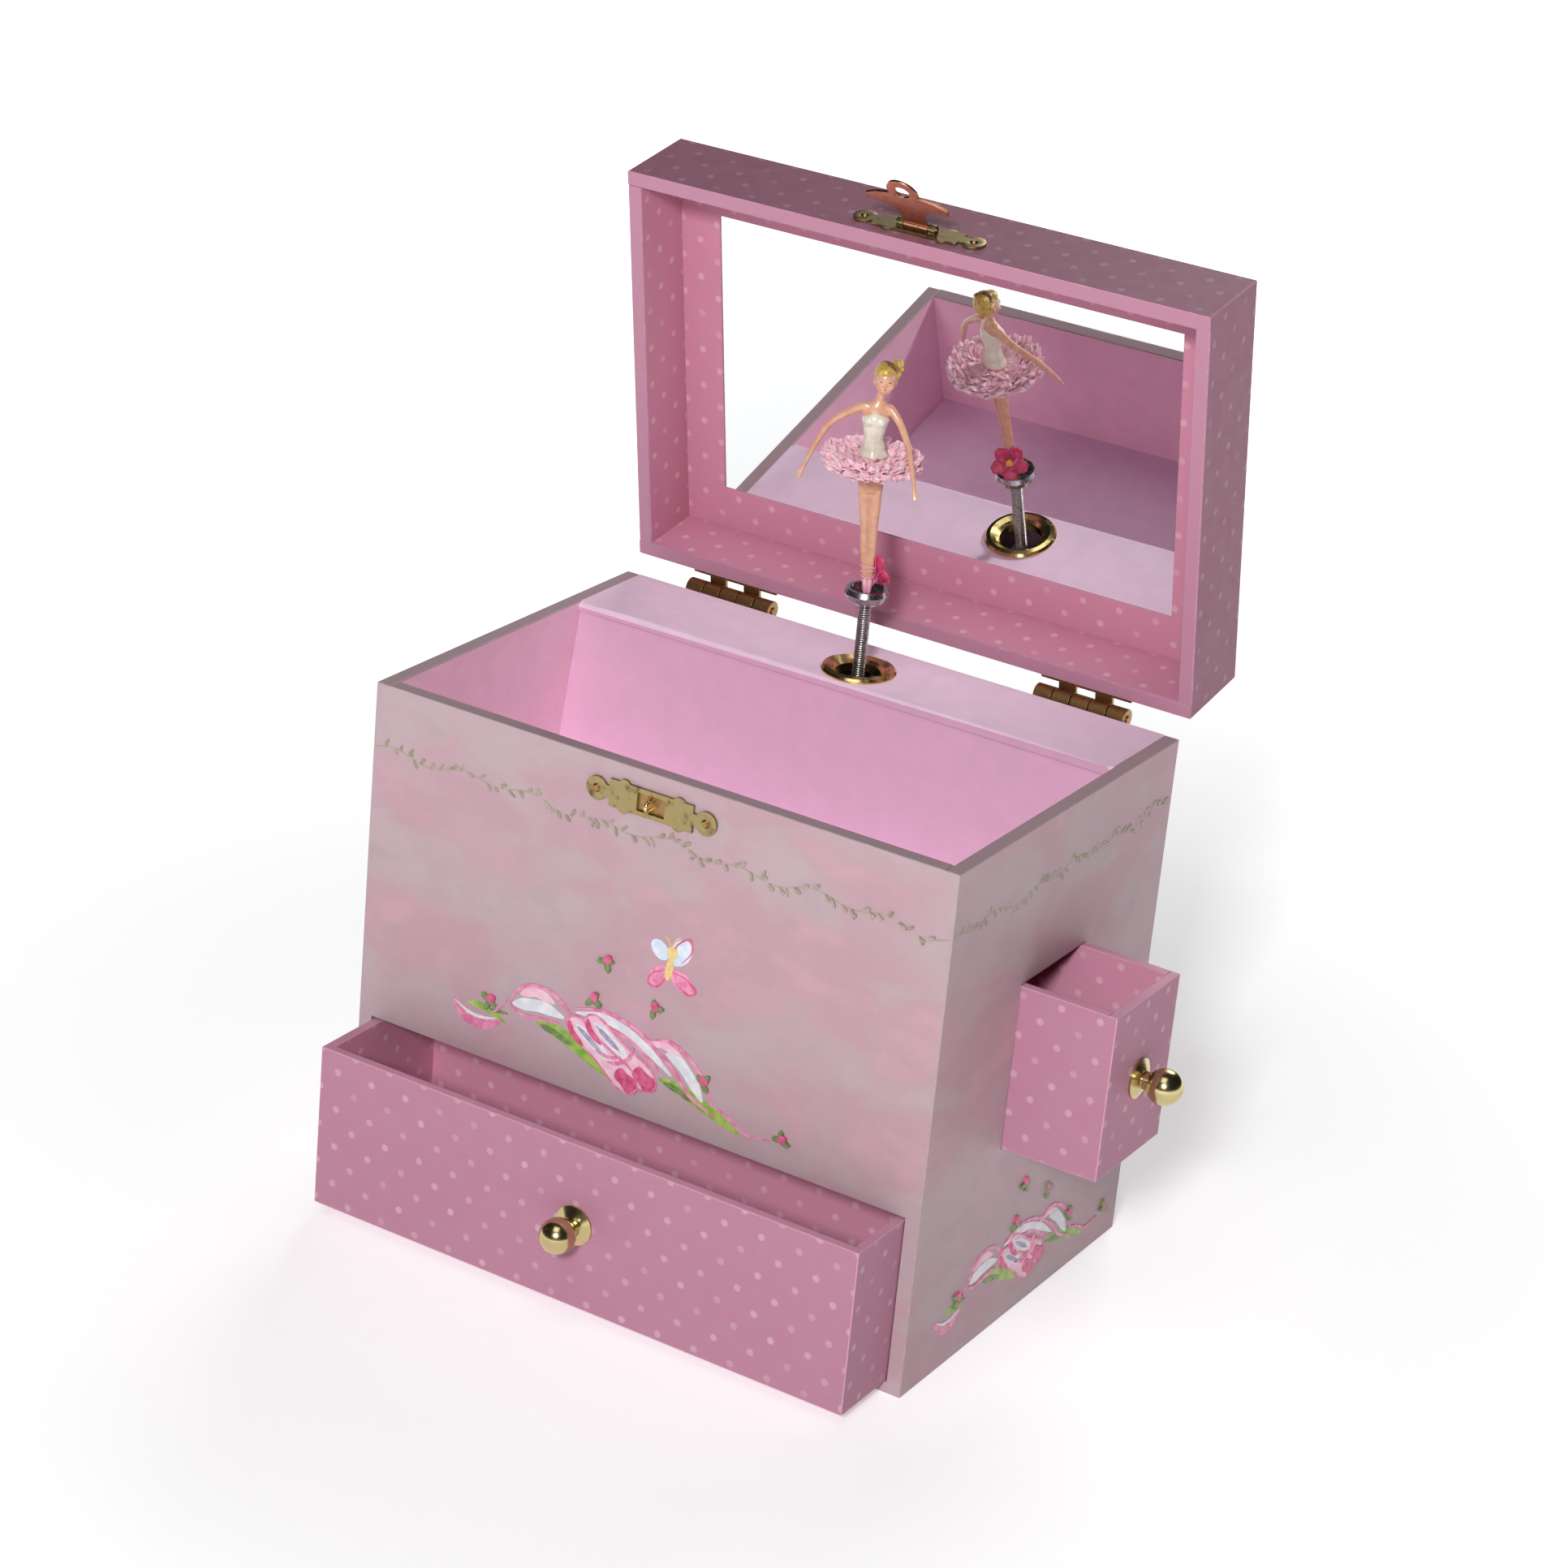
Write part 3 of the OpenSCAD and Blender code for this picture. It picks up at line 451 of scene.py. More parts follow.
def metal(name, colour, roughness, brush=(1, 1, 8)):
    """Plain metal with fine brushing along one axis."""
    f = Finish(name, colour, roughness, Metallic=1.0)
    at = f.place()
    lines = f.noise(f.node("Mapping", {"Vector": at, "Scale": brush}).outputs[0], 0.6, 3)
    f.drive("Roughness", f.remap(lines, 0.3, 0.7, roughness - 0.08, roughness + 0.12))
    tone = f.remap(f.noise(at, 3, 3), 0.35, 0.7)
    f.drive("Base Color", f.mix(tone, colour, [0.75 * c for c in colour]))
    f.bump(lines, 0.01, 0.3)
    return f.mat


def mirror_glass(name):
    f = Finish(name, (0.93, 0.94, 0.95), 0.012, Metallic=1.0)
    smear = f.noise(f.place(True), 24, 3, 0.6)
    f.drive("Roughness", f.remap(smear, 0.5, 0.8, 0.008, 0.03))
    return f.mat


def moulded(name, colour, second, roughness=0.32, size=2.0):
    """Painted moulded plastic, slightly uneven in tone."""
    f = Finish(name, colour, roughness, Coat_Weight=0.3, Coat_Roughness=0.18, Subsurface_Weight=0.12,
               Subsurface_Scale=0.002)
    at = f.place()
    f.drive("Base Color", f.mix(f.remap(f.noise(at, size, 3), 0.35, 0.7), colour, second))
    f.drive("Roughness", f.remap(f.noise(at, 0.7, 2), 0.3, 0.7, roughness - 0.05, roughness + 0.1))
    f.bump(f.noise(at, 0.5, 2), 0.015, 0.5)
    return f.mat


def net_fabric(name, colour, pale):
    """Frilled nylon net: crossed threads, a sheen, and random patches of a paler pink that are painted highlights
    on the frills.
    """
    f = Finish(name, colour, 0.75, Sheen_Weight=0.5, Sheen_Roughness=0.4, Subsurface_Weight=0.4,
               Subsurface_Radius=(1, 1, 1), Subsurface_Scale=0.001)
    f.bsdf.inputs["Sheen Tint"].default_value = (1, 0.86, 0.91, 1)
    at = f.place()
    wave = {"Vector": at, "Scale": 1.3, "Distortion": 1.0}
    threads = [f.node("TexWave", wave, bands_direction=way).outputs["Fac"] for way in "XY"]
    # painted highlight: random patches of the paler pink
    f.drive("Base Color", f.mix(f.remap(f.noise(at, 1.6, 3), 0.35, 0.65), colour, pale))
    f.bump(f.maths("MAXIMUM", *threads), 0.04, 0.35)
    return f.mat


polished_brass = brass("polished_brass", (0.76, 0.6, 0.25), (0.42, 0.26, 0.09), 0.2, 0.15)
knob_brass = brass("knob_brass", (0.58, 0.48, 0.24), (0.34, 0.24, 0.1), 0.2, 0.2)
antique_brass = brass("antique_brass", (0.34, 0.27, 0.125), (0.11, 0.065, 0.035), 0.34, 0.6)
hinge_brass = brass("hinge_brass", (0.36, 0.21, 0.09), (0.13, 0.06, 0.03), 0.38, 0.6)
copper_brass = brass("copper_brass", (0.66, 0.32, 0.19), (0.2, 0.08, 0.045), 0.3, 0.5)
steel = metal("drawn_steel", (0.5, 0.47, 0.46), 0.3)
zinc = metal("die_cast_zinc", (0.56, 0.54, 0.51), 0.48, (1, 1, 1))
grey_plate = metal("grey_plate", (0.44, 0.41, 0.44), 0.24, (1, 1, 4))
mirror_mat = mirror_glass("mirror_glass")
skin = moulded("doll_skin", (0.66, 0.37, 0.24), (0.6, 0.3, 0.19))
bodice_paint = moulded("bodice_paint", (0.72, 0.68, 0.58), (0.66, 0.61, 0.5), 0.28)
hair_paint = moulded("hair_paint", (0.58, 0.42, 0.08), (0.4, 0.25, 0.05), 0.35, 1.1)
# the front strands of the hair are coloured darker brown than the rest
fringe_paint = moulded("fringe_paint", (0.14, 0.055, 0.025), (0.3, 0.15, 0.05), 0.35, 1.3)
slipper_paint = moulded("slipper_paint", (0.84, 0.42, 0.5), (0.78, 0.34, 0.44))
lip_paint = moulded("lip_paint", (0.6, 0.12, 0.15), (0.55, 0.1, 0.13))
eye_paint = moulded("eye_paint", (0.05, 0.03, 0.03), (0.08, 0.05, 0.04))
petal_paint = moulded("petal_paint", (0.5, 0.03, 0.09), (0.68, 0.07, 0.2), 0.34, 1.3)
stamen_paint = moulded("stamen_paint", (0.85, 0.42, 0.06), (0.75, 0.25, 0.04))
leaf_paint = moulded("leaf_paint", (0.72, 0.13, 0.32), (0.6, 0.07, 0.22))
# the second colour is the painted highlight on the frills
tutu_net = net_fabric("tutu_net", (0.9, 0.44, 0.54), (0.95, 0.64, 0.71))

FITTINGS = {
    polished_brass: "lock_staple brass_ring hasp_pin great_wheel spindle_wheel cylinder_wheel governor_fan "
                    "music_cylinder",
    knob_brass: "front_drawer_knob side_drawer_knob",
    antique_brass: "lock_plate hasp_base",
    hinge_brass: "case_hinge_leaves lid_hinge_leaves hinge_pins case_fitting_pins lid_fitting_pins",
    copper_brass: "hasp",
    steel: "movement_screws mainspring tone_comb winding_arbor winding_key drive_spindle governor_pinion "
           "front_knob_screw side_knob_screw",
    zinc: "bedplate spring_housing spindle_bracket governor_housing",
    grey_plate: "post_cup",
    mirror_mat: "mirror",
}
STAMPED = {"lock_plate": 0.25, "hasp_base": 0.2, "hasp": 0.22, "case_hinge_leaves": 0.12,
           "lid_hinge_leaves": 0.12, "winding_key": 0.25}


def finish_the_fittings():
    for mat, names in FITTINGS.items():
        for name in names.split():
            nodes[name].data.materials.clear()
            nodes[name].data.materials.append(mat)
    for name, width in STAMPED.items():
        obj = nodes[name]
        drop_custom_normals(obj.data)
        obj.data.shade_smooth()
        soften(obj, width)
        obj.modifiers.new("shade", "WEIGHTED_NORMAL").weight = 100


# ---- mesh helpers


def add(name, data):
    """A new object in the scene."""
    obj = bpy.data.objects.new(name, data)
    scene.collection.objects.link(obj)
    return obj


def to_mesh(name, bm):
    mesh = bpy.data.meshes.new(name)
    bm.to_mesh(mesh)
    bm.free()
    return mesh


def piece(name, shape, body, material, place=Matrix.Scale(MM, 4), smooth=True):
    """Makes a bmesh or a mesh, in millimetres, a named piece that rides on a body."""
    if isinstance(shape, bmesh.types.BMesh):
        bmesh.ops.recalc_face_normals(shape, faces=shape.faces)
        shape = to_mesh(name, shape)
    shape.transform(place)
    if smooth:
        shape.shade_smooth()
    shape.materials.append(material)
    obj = add(name, shape)
    if body:
        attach(obj, body)
    return obj


def doll_piece(name, shape, material):
    """A piece that turns with the doll and is drawn as if the doll faced the front."""
    return piece(name, shape, "dancer", material, DOLL)


def curve(points, steps=8):
    """A smooth line through points, with steps between each two."""
    pts = [Vector(p) for p in points]
    last = len(pts) - 1
    made = []
    for i in range(last):
        p0, p1, p2, p3 = (pts[min(max(i + k, 0), last)] for k in (-1, 0, 1, 2))
        for k in range(steps):
            t = k / steps
            made.append(0.5 * (2 * p1 + (p2 - p0) * t + (2 * p0 - 5 * p1 + 4 * p2 - p3) * t * t
                               + (3 * p1 - p0 - 3 * p2 + p3) * t * t * t))
    return made + pts[-1:]


def heading(line, i):
    """Which way a line runs at its point i."""
    return (line[min(i + 1, len(line) - 1)] - line[max(i - 1, 0)]).normalized()


def tube(bm, points, radii, sides=12, steps=6, flatten=1.0):
    """A closed round limb through points, with a radius at each and round ends."""
    line = curve(points, steps)
    sizes = [size.x for size in curve([(radius, 0, 0) for radius in radii], steps)]
    side = Vector((1, 0, 0))
    rings = []
    for i, p in enumerate(line):
        ahead = heading(line, i)
        side = (side - ahead * side.dot(ahead)).normalized()
        up = ahead.cross(side)
        cap = [(cos(t), sin(t)) for t in (1.15, 0.7, 0.25)]
        start = [(-along, wide) for along, wide in reversed(cap)] if i == 0 else []
        for along, wide in start + [(0, 1)] + (cap if i == len(line) - 1 else []):
            middle, r = p + ahead * along * sizes[i], wide * sizes[i]
            rings.append([bm.verts.new(middle + r * (side * cos(a) + up * sin(a) * flatten))
                          for a in around(sides)])
    join_rings(bm, rings)


CORNERS = [(-1, -1), (1, -1), (1, 1), (-1, 1)]


def join_rings(bm, rings, capped=True):
    count = len(rings[0])
    for low, high in zip(rings, rings[1:]):
        for k in range(count):
            bm.faces.new((low[k], low[(k + 1) % count], high[(k + 1) % count], high[k]))
    if capped:
        bm.faces.new(rings[0])
        bm.faces.new(rings[-1])


def loft(bm, levels):
    """A closed form through level ellipses: (z, x, y, half width, half depth) each."""
    middles = curve([level[:3] for level in levels], 5)
    sizes = curve([(*level[3:], 0) for level in levels], 5)
    join_rings(bm, [[bm.verts.new((x + size.x * cos(t), y + size.y * sin(t), z)) for t in around(32)]
                    for (z, x, y), size in zip(middles, sizes)])


def ball(bm, centre, radii, turn=None):
    """An ellipsoid, turned about its centre."""
    made = bmesh.ops.create_uvsphere(bm, u_segments=24, v_segments=16, radius=1)["verts"]
    shape = Matrix.Diagonal((*radii, 1))
    if turn is not None:
        shape = turn.to_4x4() @ shape
    bmesh.ops.transform(bm, matrix=Matrix.Translation(centre) @ shape, verts=made)


def fused(bm, voxel, smoothing):
    """One closed skin over everything in bm, in millimetres."""
    obj = add("fusing", to_mesh("fusing", bm))
    remesh = obj.modifiers.new("remesh", "REMESH")
    remesh.mode = "VOXEL"
    remesh.voxel_size = voxel
    smooth = obj.modifiers.new("smooth", "SMOOTH")
    smooth.iterations = smoothing
    made = bpy.data.meshes.new_from_object(obj.evaluated_get(bpy.context.evaluated_depsgraph_get()))
    bpy.data.objects.remove(obj)
    return made


# ---- printed decoration

INK_STEP = 0.03  # each printed colour's thickness
INK_LIFT = 0.004  # how much higher each shape of a colour lies than the shape before


def swung(outline, angle, u, v):
    """An outline turned by degrees, then moved by (u, v)."""
    a = radians(angle)
    return [(u + x * cos(a) - y * sin(a), v + x * sin(a) + y * cos(a)) for x, y in outline]


class Ink:
    """Flat printed shapes of one colour on one face of the case."""

    def __init__(self, on, layer):
        self.bm = bmesh.new()
        self.on = on
        self.top = INK_STEP * layer

    def slab(self, outline):
        """A thin plate with this outline."""
        self.top += INK_LIFT
        join_rings(self.bm, [[self.bm.verts.new(self.on(u, v, h)) for u, v in outline]
                             for h in (-INK_STEP, self.top)])

    def stroke(self, points, width, steps=8, tapered=True):
        """A brush line along points, thinning at both ends."""
        self.top += INK_LIFT
        line = curve([(u, v, 0) for u, v in points], steps)
        rings = []
        last = len(line) - 1
        for i, p in enumerate(line):
            ahead = heading(line, i)
            share = min(1, 0.15 + 3.2 * min(i, last - i) / last) if tapered else 1.0
            out = Vector((-ahead.y, ahead.x, 0)) * (width / 2 * share)
            low, high = ([(p + out, h), (p - out, h)] for h in (-INK_STEP, self.top))
            rings.append([self.bm.verts.new(self.on(q.x, q.y, h)) for q, h in high + low[::-1]])
        join_rings(self.bm, rings)

    def leaf(self, u, v, length, width, angle, bend=0.0):
        """A pointed leaf from (u, v), pointing along angle in degrees."""
        a = radians(angle)
        self.stroke([(u + length * t * cos(a + bend * t), v + length * t * sin(a + bend * t))
                     for t in (0, 0.33, 0.67, 1)], width, 6)

    def dot(self, u, v, r, stretch=1.0, angle=0.0):
        self.slab(swung([(r * stretch * cos(t), r * sin(t)) for t in around(20)], angle, u, v))

    def done(self, name, colour):
        piece(name, self.bm, "case", inks[colour], smooth=False)


def ink(name, colour, second, size=3.0):
    """Printing ink, uneven like a watercolour wash."""
    f = Finish(name, colour, 0.42, Coat_Weight=0.2, Coat_Roughness=0.25)
    at = f.place()
    f.drive("Base Color", f.mix(f.remap(f.noise(at, size, 4, 0.6), 0.36, 0.64), colour, second))
    f.drive("Roughness", f.remap(f.noise(at, 0.4, 2), 0.3, 0.7, 0.38, 0.48))
    return f.mat


INKS = {
    "leaf": ((0.17, 0.34, 0.03), (0.36, 0.5, 0.09)),
    "dark_leaf": ((0.1, 0.17, 0.05), (0.2, 0.26, 0.1), 1.5),
    "white": ((0.74, 0.72, 0.76), (0.6, 0.6, 0.66)),
    "rose": ((0.62, 0.14, 0.3), (0.74, 0.3, 0.44), 2),
    "blush": ((0.74, 0.42, 0.53), (0.78, 0.54, 0.62)),
    "crimson": ((0.52, 0.045, 0.15), (0.66, 0.12, 0.26), 2),
    "lilac": ((0.28, 0.23, 0.38), (0.45, 0.4, 0.52), 2),
    "sky": ((0.52, 0.6, 0.74), (0.68, 0.72, 0.8), 2),
    "gold": ((0.66, 0.46, 0.12), (0.72, 0.56, 0.24), 1.5),
    "vine": ((0.31, 0.25, 0.2), (0.4, 0.32, 0.29), 6),
    "sprig": ((0.24, 0.21, 0.14), (0.36, 0.29, 0.25), 5),
}
inks = {name: ink(f"ink_{name}", *look) for name, look in INKS.items()}


def on_front(u, v, h):
    return u, front_y - h, v


def on_right(u, v, h):
    return right_x + h, u, v


def on_left(u, v, h):
    return left_x - h, -u, v


def on_back(u, v, h):
    return -u, back_y + h, v


def moved(on, du, dv, size=1.0):
    """The same face with the artwork's origin moved to (du, dv)."""
    return lambda u, v, h: on(du + u * size, dv + v * size, h)


# places along a slipper's sole, from heel to toe, and the half widths there
SOLE = [(0, 0.1), (0.06, 0.32), (0.2, 0.4), (0.4, 0.36), (0.6, 0.42), (0.8, 0.5), (0.93, 0.38), (1, 0.12)]
SHOE_TURN = -32  # degrees


def slipper_sole(u, v, length, width):
    """Outline of a sole with its heel at (u, v)."""
    upper = [(length * t, width * w) for t, w in SOLE]
    return swung(upper + [(x, -y) for x, y in reversed(upper)], SHOE_TURN, u, v)


# each part of the artwork: its layer, counted outwards from the paper, and its ink
ARTWORK = {
    "leaves": (1, "leaf"), "leaf_shade": (3, "dark_leaf"), "ribbon": (5, "white"),
    "ribbon_edges": (7, "rose"), "blush": (2, "blush"), "slipper_far": (9, "blush"),
    "slipper_near": (11, "blush"), "slipper_far_rim": (10, "rose"), "slipper_near_rim": (12, "rose"),
    "insoles": (13, "white"), "insole_shade": (15, "lilac"), "heels": (16, "crimson"),
    "toes": (17, "crimson"), "crossing": (20, "rose"), "crescent": (4, "rose"),
    "crescent_edge": (6, "white"), "rosebuds": (24, "crimson"), "bud_leaves": (22, "dark_leaf"),
}
RIBBON_EDGES = [
    [(-31.2, 11.4), (-29.6, 15.4), (-25.4, 18.4), (-19.6, 18.4), (-15, 15.8), (-13, 12.8)],
    [(-31.2, 11.4), (-27.4, 9.9), (-22, 10.6), (-16.6, 11.2)],
    [(-12.6, 16.6), (-5, 18.4), (3, 17.4), (9.6, 14.4), (15.6, 9.6)],
    [(-4, 14.6), (2, 14), (8.4, 10.8), (13.4, 7)],
    [(8.6, 15.2), (14, 16.8), (20.4, 14.2), (25.2, 8.8), (27.4, 4.4)],
    [(12.6, 13), (16.4, 9.4), (20.4, 5.2), (28.6, 1.6)],
]
BUDS = [(-37, 10.6), (-4.9, 31.5), (-7.8, 20.8), (9.1, 23.9), (24.1, 9.6), (46.4, 2.2)]


def artwork(on, tag):
    """Ballet slippers on leaves, with loops of ribbon and scattered rosebuds. (0, 0) is its foot."""
    parts = {name: Ink(on, layer) for name, (layer, _) in ARTWORK.items()}
    (leaves, dark, white, outline, blush, far, near, far_rim, near_rim, insole, shadow, heel, toe, crossing,
     crescent, tip, bud, husk) = parts.values()
    leaves.stroke([(-23.4, 9.4), (-16, 8.4), (-8, 5.4), (-1, 1.8)], 3.6)
    leaves.stroke([(12, 6.4), (18, 5.6), (26, 3.2), (35, -0.4)], 3.2)
    leaves.leaf(-43.5, 8, 11.5, 1.8, 10, -0.35)
    dark.stroke([(-22.4, 9), (-18, 8.3), (-13, 6.7)], 1.7)
    dark.stroke([(13.2, 5.9), (17.5, 5.2), (22, 3.7)], 1.6)
    dark.leaf(-37, 8.2, 5.5, 0.8, 5)

    white.stroke([(-30.4, 12), (-26.5, 13), (-21.5, 13.8), (-15.5, 13)], 3.2)
    white.stroke([(-12.4, 15.6), (-5, 16.8), (2, 15.6), (9, 12.4), (15.4, 8.2)], 2.4)
    white.stroke([(13.4, 13.6), (17.6, 12.2), (21.4, 8.6), (24.4, 4.6)], 3)
    blush.stroke([(-28.4, 15), (-24, 17), (-18.5, 15.8)], 2.6)
    blush.stroke([(8, 14.2), (13, 15.4), (19.5, 12.6)], 2)
    for points in RIBBON_EDGES:
        outline.stroke(points, 0.95)
    outline.stroke([(25.6, 5), (31, 3.4), (36.6, 0.6), (43.5, 1.2)], 0.6)
    outline.stroke([(-32, 12.2), (-34, 9.4), (-36.6, 7.4)], 0.5)

    for shoe, rim, u, v in ((far, far_rim, -9, 15.6), (near, near_rim, -14, 13.6)):
        sole = slipper_sole(u, v, 23.5, 7)
        shoe.slab(sole)
        rim.stroke(sole + sole[:1], 0.6, 3, False)
        insole.leaf(u + 2.2, v - 0.8, 12.5, 2.9, SHOE_TURN)
        shadow.leaf(u + 2.6, v - 1.2, 8.6, 1.3, SHOE_TURN)
        heel.stroke([(u + 0.2, v - 0.4), (u + 1.2, v - 3.2), (u + 4.6, v - 5.8)], 1.6)
        toe.slab(slipper_sole(u + 14.3, v - 8.9, 6.4, 4.8))
    crossing.stroke([(-2.4, 6.2), (0.6, 6.6), (3.6, 9), (4.6, 12)], 1)
    crossing.stroke([(-6, 8), (-2, 7.4), (1.4, 8.6)], 0.8)
    crescent.stroke([(-47.6, 7.6), (-43.4, 4.3), (-38.4, 4), (-33.6, 6.2)], 3.4)
    tip.stroke([(-47, 7.6), (-43, 5.6), (-38.6, 5.4), (-34.6, 6.6)], 0.8)

    for i, (u, v) in enumerate(BUDS):
        turn = 40 * i
        bud.dot(u + 0.5, v + 0.7, 1, 1.2, turn)
        for length, width, angle in ((2.7, 1.3, 150), (2.9, 1.4, 250), (2.3, 1.1, 330)):
            husk.leaf(u, v, length, width, angle + turn)
    for name, shapes in parts.items():
        shapes.done(f"{tag}_{name}", ARTWORK[name][1])


def butterfly(on, name):
    """Two upper wings, two lower wings, a body and feelers."""
    upper, lower, edge, body = Ink(on, 1), Ink(on, 2), Ink(on, 3), Ink(on, 4)
    upper.dot(2.6, 4.6, 2.7, 1.5, 55)
    upper.dot(-3, 3.8, 2.1, 1.35, 140)
    lower.dot(-2.8, -2.8, 2.2, 1.5, 230)
    lower.dot(3.6, -2.4, 2.3, 1.6, -28)
    edge.stroke([(0.6, 1), (1.4, 6), (4.8, 8.8), (5.6, 5.6), (2.8, 1.8)], 0.45)
    edge.stroke([(-0.6, -0.6), (-4.6, -2.8), (-5.4, -5.6), (-2.8, -5.6), (-0.6, -2.2)], 0.55)
    edge.stroke([(0.8, -0.8), (4.6, -1.4), (7.6, -3.6), (5.6, -5.2), (1.6, -3.2)], 0.55)
    body.dot(0, 0, 1, 3.4, 82)
    body.dot(0.4, 4, 1.5, 1)
    body.stroke([(0.4, 4.6), (1, 7.4), (2.6, 8.6)], 0.3)
    body.stroke([(0.2, 4.6), (-0.8, 7), (-2.2, 7.8)], 0.3)
    for shapes, part, colour in ((upper, "upper_wings", "sky"), (lower, "lower_wings", "rose"),
                                 (edge, "wing_edges", "crimson"), (body, "body", "gold")):
        shapes.done(f"{name}_{part}", colour)


GARLAND_Z = 117.6


def garland(on, half, tag, seed):
    """A thin wavy vine with small leaves, along one side of the case."""
    random.seed(seed)
    vine, sprigs = Ink(on, 1), Ink(on, 2)

    def height(u):
        return GARLAND_Z + 0.9 * sin(u / 3.1) + 0.5 * sin(u / 7.3 + 1)

    us = [-half + k * 2 * half / 90 for k in range(91)]
    vine.stroke([(u, height(u)) for u in us], 0.34, 2, False)
    u = -half + 3
    while u < half - 3:
        side = random.choice((-1, 1))
        length, width = random.uniform(1.5, 2.7), random.uniform(0.6, 1)
        sprigs.leaf(u, height(u), length, width, side * random.uniform(25, 75))
        if random.random() < 0.4:
            sprigs.dot(u + 1, height(u + 1) + side * random.uniform(0.7, 1.5), random.uniform(0.28, 0.5), 1.3)
        u += random.uniform(1.5, 3.1)
    vine.done(f"{tag}_vine", "vine")
    sprigs.done(f"{tag}_sprigs", "sprig")


def lock_recess():
    """A dark brass sheet in the lock plate's opening: painted shade for the hollow behind it."""
    low, high = box_mm("lock_plate")
    x, z = (low.x + high.x) / 2, (low.z + high.z) / 2
    bm = bmesh.new()
    join_rings(bm, [[bm.verts.new((x + 3.85 * a, front_y - h, z + 2.35 * b)) for a, b in CORNERS]
                    for h in (-0.1, 0.1)])
    # painted shade: a flat dark sheet where the opening's shadow falls
    piece("lock_recess", bm, "case", hinge_brass, smooth=False)


def print_the_case():
    front = moved(on_front, -4.6, 51.8)
    artwork(front, "front")
    butterfly(moved(front, 12.4, 35.4), "front_butterfly")
    artwork(moved(on_right, 3, 7, 0.9), "right")
    artwork(moved(on_left, 0, 7, 0.9), "left")
    half_w, half_d = right_x - 0.4, -front_y - 0.4
    garland(on_front, half_w, "front_garland", 11)
    garland(on_right, half_d, "right_garland", 12)
    garland(on_back, half_w, "back_garland", 13)
    garland(on_left, half_d, "left_garland", 14)


# ---- spring post and ankle flower

WIRE_R = 0.27
COIL_PITCH = 0.6


def spring_coil():
    """Close-wound coil round the spring post."""
    bm = bmesh.new()
    centre_r = (post_high.x - post_low.x) / 2 - WIRE_R
    turns = (post_high.z - post_low.z - 2 * WIRE_R) / COIL_PITCH
    per_turn = 16
    rings = []
    for i in range(int(turns * per_turn) + 1):
        a = 2 * pi * i / per_turn
        z = post_low.z + WIRE_R + COIL_PITCH * i / per_turn
        out, up = Vector((cos(a), sin(a), 0)), Vector((0, 0, 1))
        middle = Vector((post_x, post_y, z)) + out * centre_r
        rings.append([bm.verts.new(middle + WIRE_R * (out * cos(b) + up * sin(b))) for b in around(8)])
    join_rings(bm, rings)
    coil = piece("spring_coil", bm, None, steel)
    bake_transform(coil)
    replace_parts(coil, "spring_post")


PETAL_T = 0.22
FLOWER_AT = Vector((1.5, 2.1, 159.4))
FLOWER_TURN = turned(radians(-56), "Z") @ turned(radians(-72), "X")


def petal(bm, at, turn, angle, length, width, cup):
    """A spoon-shaped petal that grows outwards from at and curls up at its tip."""
    rows = 7
    spin = turn @ turned(angle, "Z")
    rings = []
    for i in range(rows + 1):
        t = i / rows
        half = width / 2 * sin(pi * (0.12 + 0.8 * t)) ** 0.7
        top = [at + spin @ Vector((length * t, half * s, cup * (t * t + 0.35 * s * s)))
               for s in (-1, -0.5, 0, 0.5, 1)]
        low = [p - spin @ Vector((0, 0, PETAL_T)) for p in reversed(top)]
        rings.append([bm.verts.new(p) for p in top + low])
    join_rings(bm, rings)


def ankle_flower():
    petals = bmesh.new()
    for a in around(5):
        petal(petals, FLOWER_AT, FLOWER_TURN, a + 0.3, 4.9, 4.2, 0.9)
    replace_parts(doll_piece("flower_petals", petals, petal_paint), "ankle_flower")
    middle = bmesh.new()
    ball(middle, FLOWER_AT + FLOWER_TURN @ Vector((0, 0, 0.35)), (0.95, 0.95, 0.55), FLOWER_TURN)
    for a in around(9):
        spot = FLOWER_AT + FLOWER_TURN @ Vector((0.75 * cos(a), 0.75 * sin(a), 0.65))
        ball(middle, spot, (0.26, 0.26, 0.26))
    doll_piece("flower_centre", middle, stamen_paint)
    stem = bmesh.new()
    tube(stem, [(0.5, 0.5, 155.2), (1.5, 1.3, 156.6), (2.3, 2, 157.9)], [0.45, 0.5, 0.55])
    for lean, long in ((0, 6.2), (0.5, 4.4)):
        up = turned(radians(8), "X") @ turned(lean + radians(-88), "Y")
        petal(stem, Vector((1.6, 1.2, 157.4)), up, 0, long, 1.7, 0.5)
    doll_piece("flower_leaves", stem, leaf_paint)


# ---- the ballerina

TORSO = [  # z, x, y, half width, half depth
    (179.5, -1.6, 1.7, 2.2, 1.9), (182, -1.7, 1.8, 3.2, 2.7), (185, -1.8, 1.9, 3.6, 3),
    (188.5, -1.9, 2, 3.4, 2.8), (190.6, -2, 2.1, 2.6, 2.2), (193, -2.1, 2.1, 2.05, 1.8),
    (195.4, -2.1, 2.1, 2.5, 2.1), (198, -2.05, 2, 3.2, 2.5), (199.8, -2, 2.2, 3.1, 2),
    (201, -1.9, 2.4, 2.7, 1.5), (202.1, -1.6, 2.5, 1.5, 1.2),
]
ARM_RADII = [1.15, 1.15, 0.95, 0.82, 0.76, 0.55, 0.42]
HEAD = Vector((-0.6, 3, 207.4))
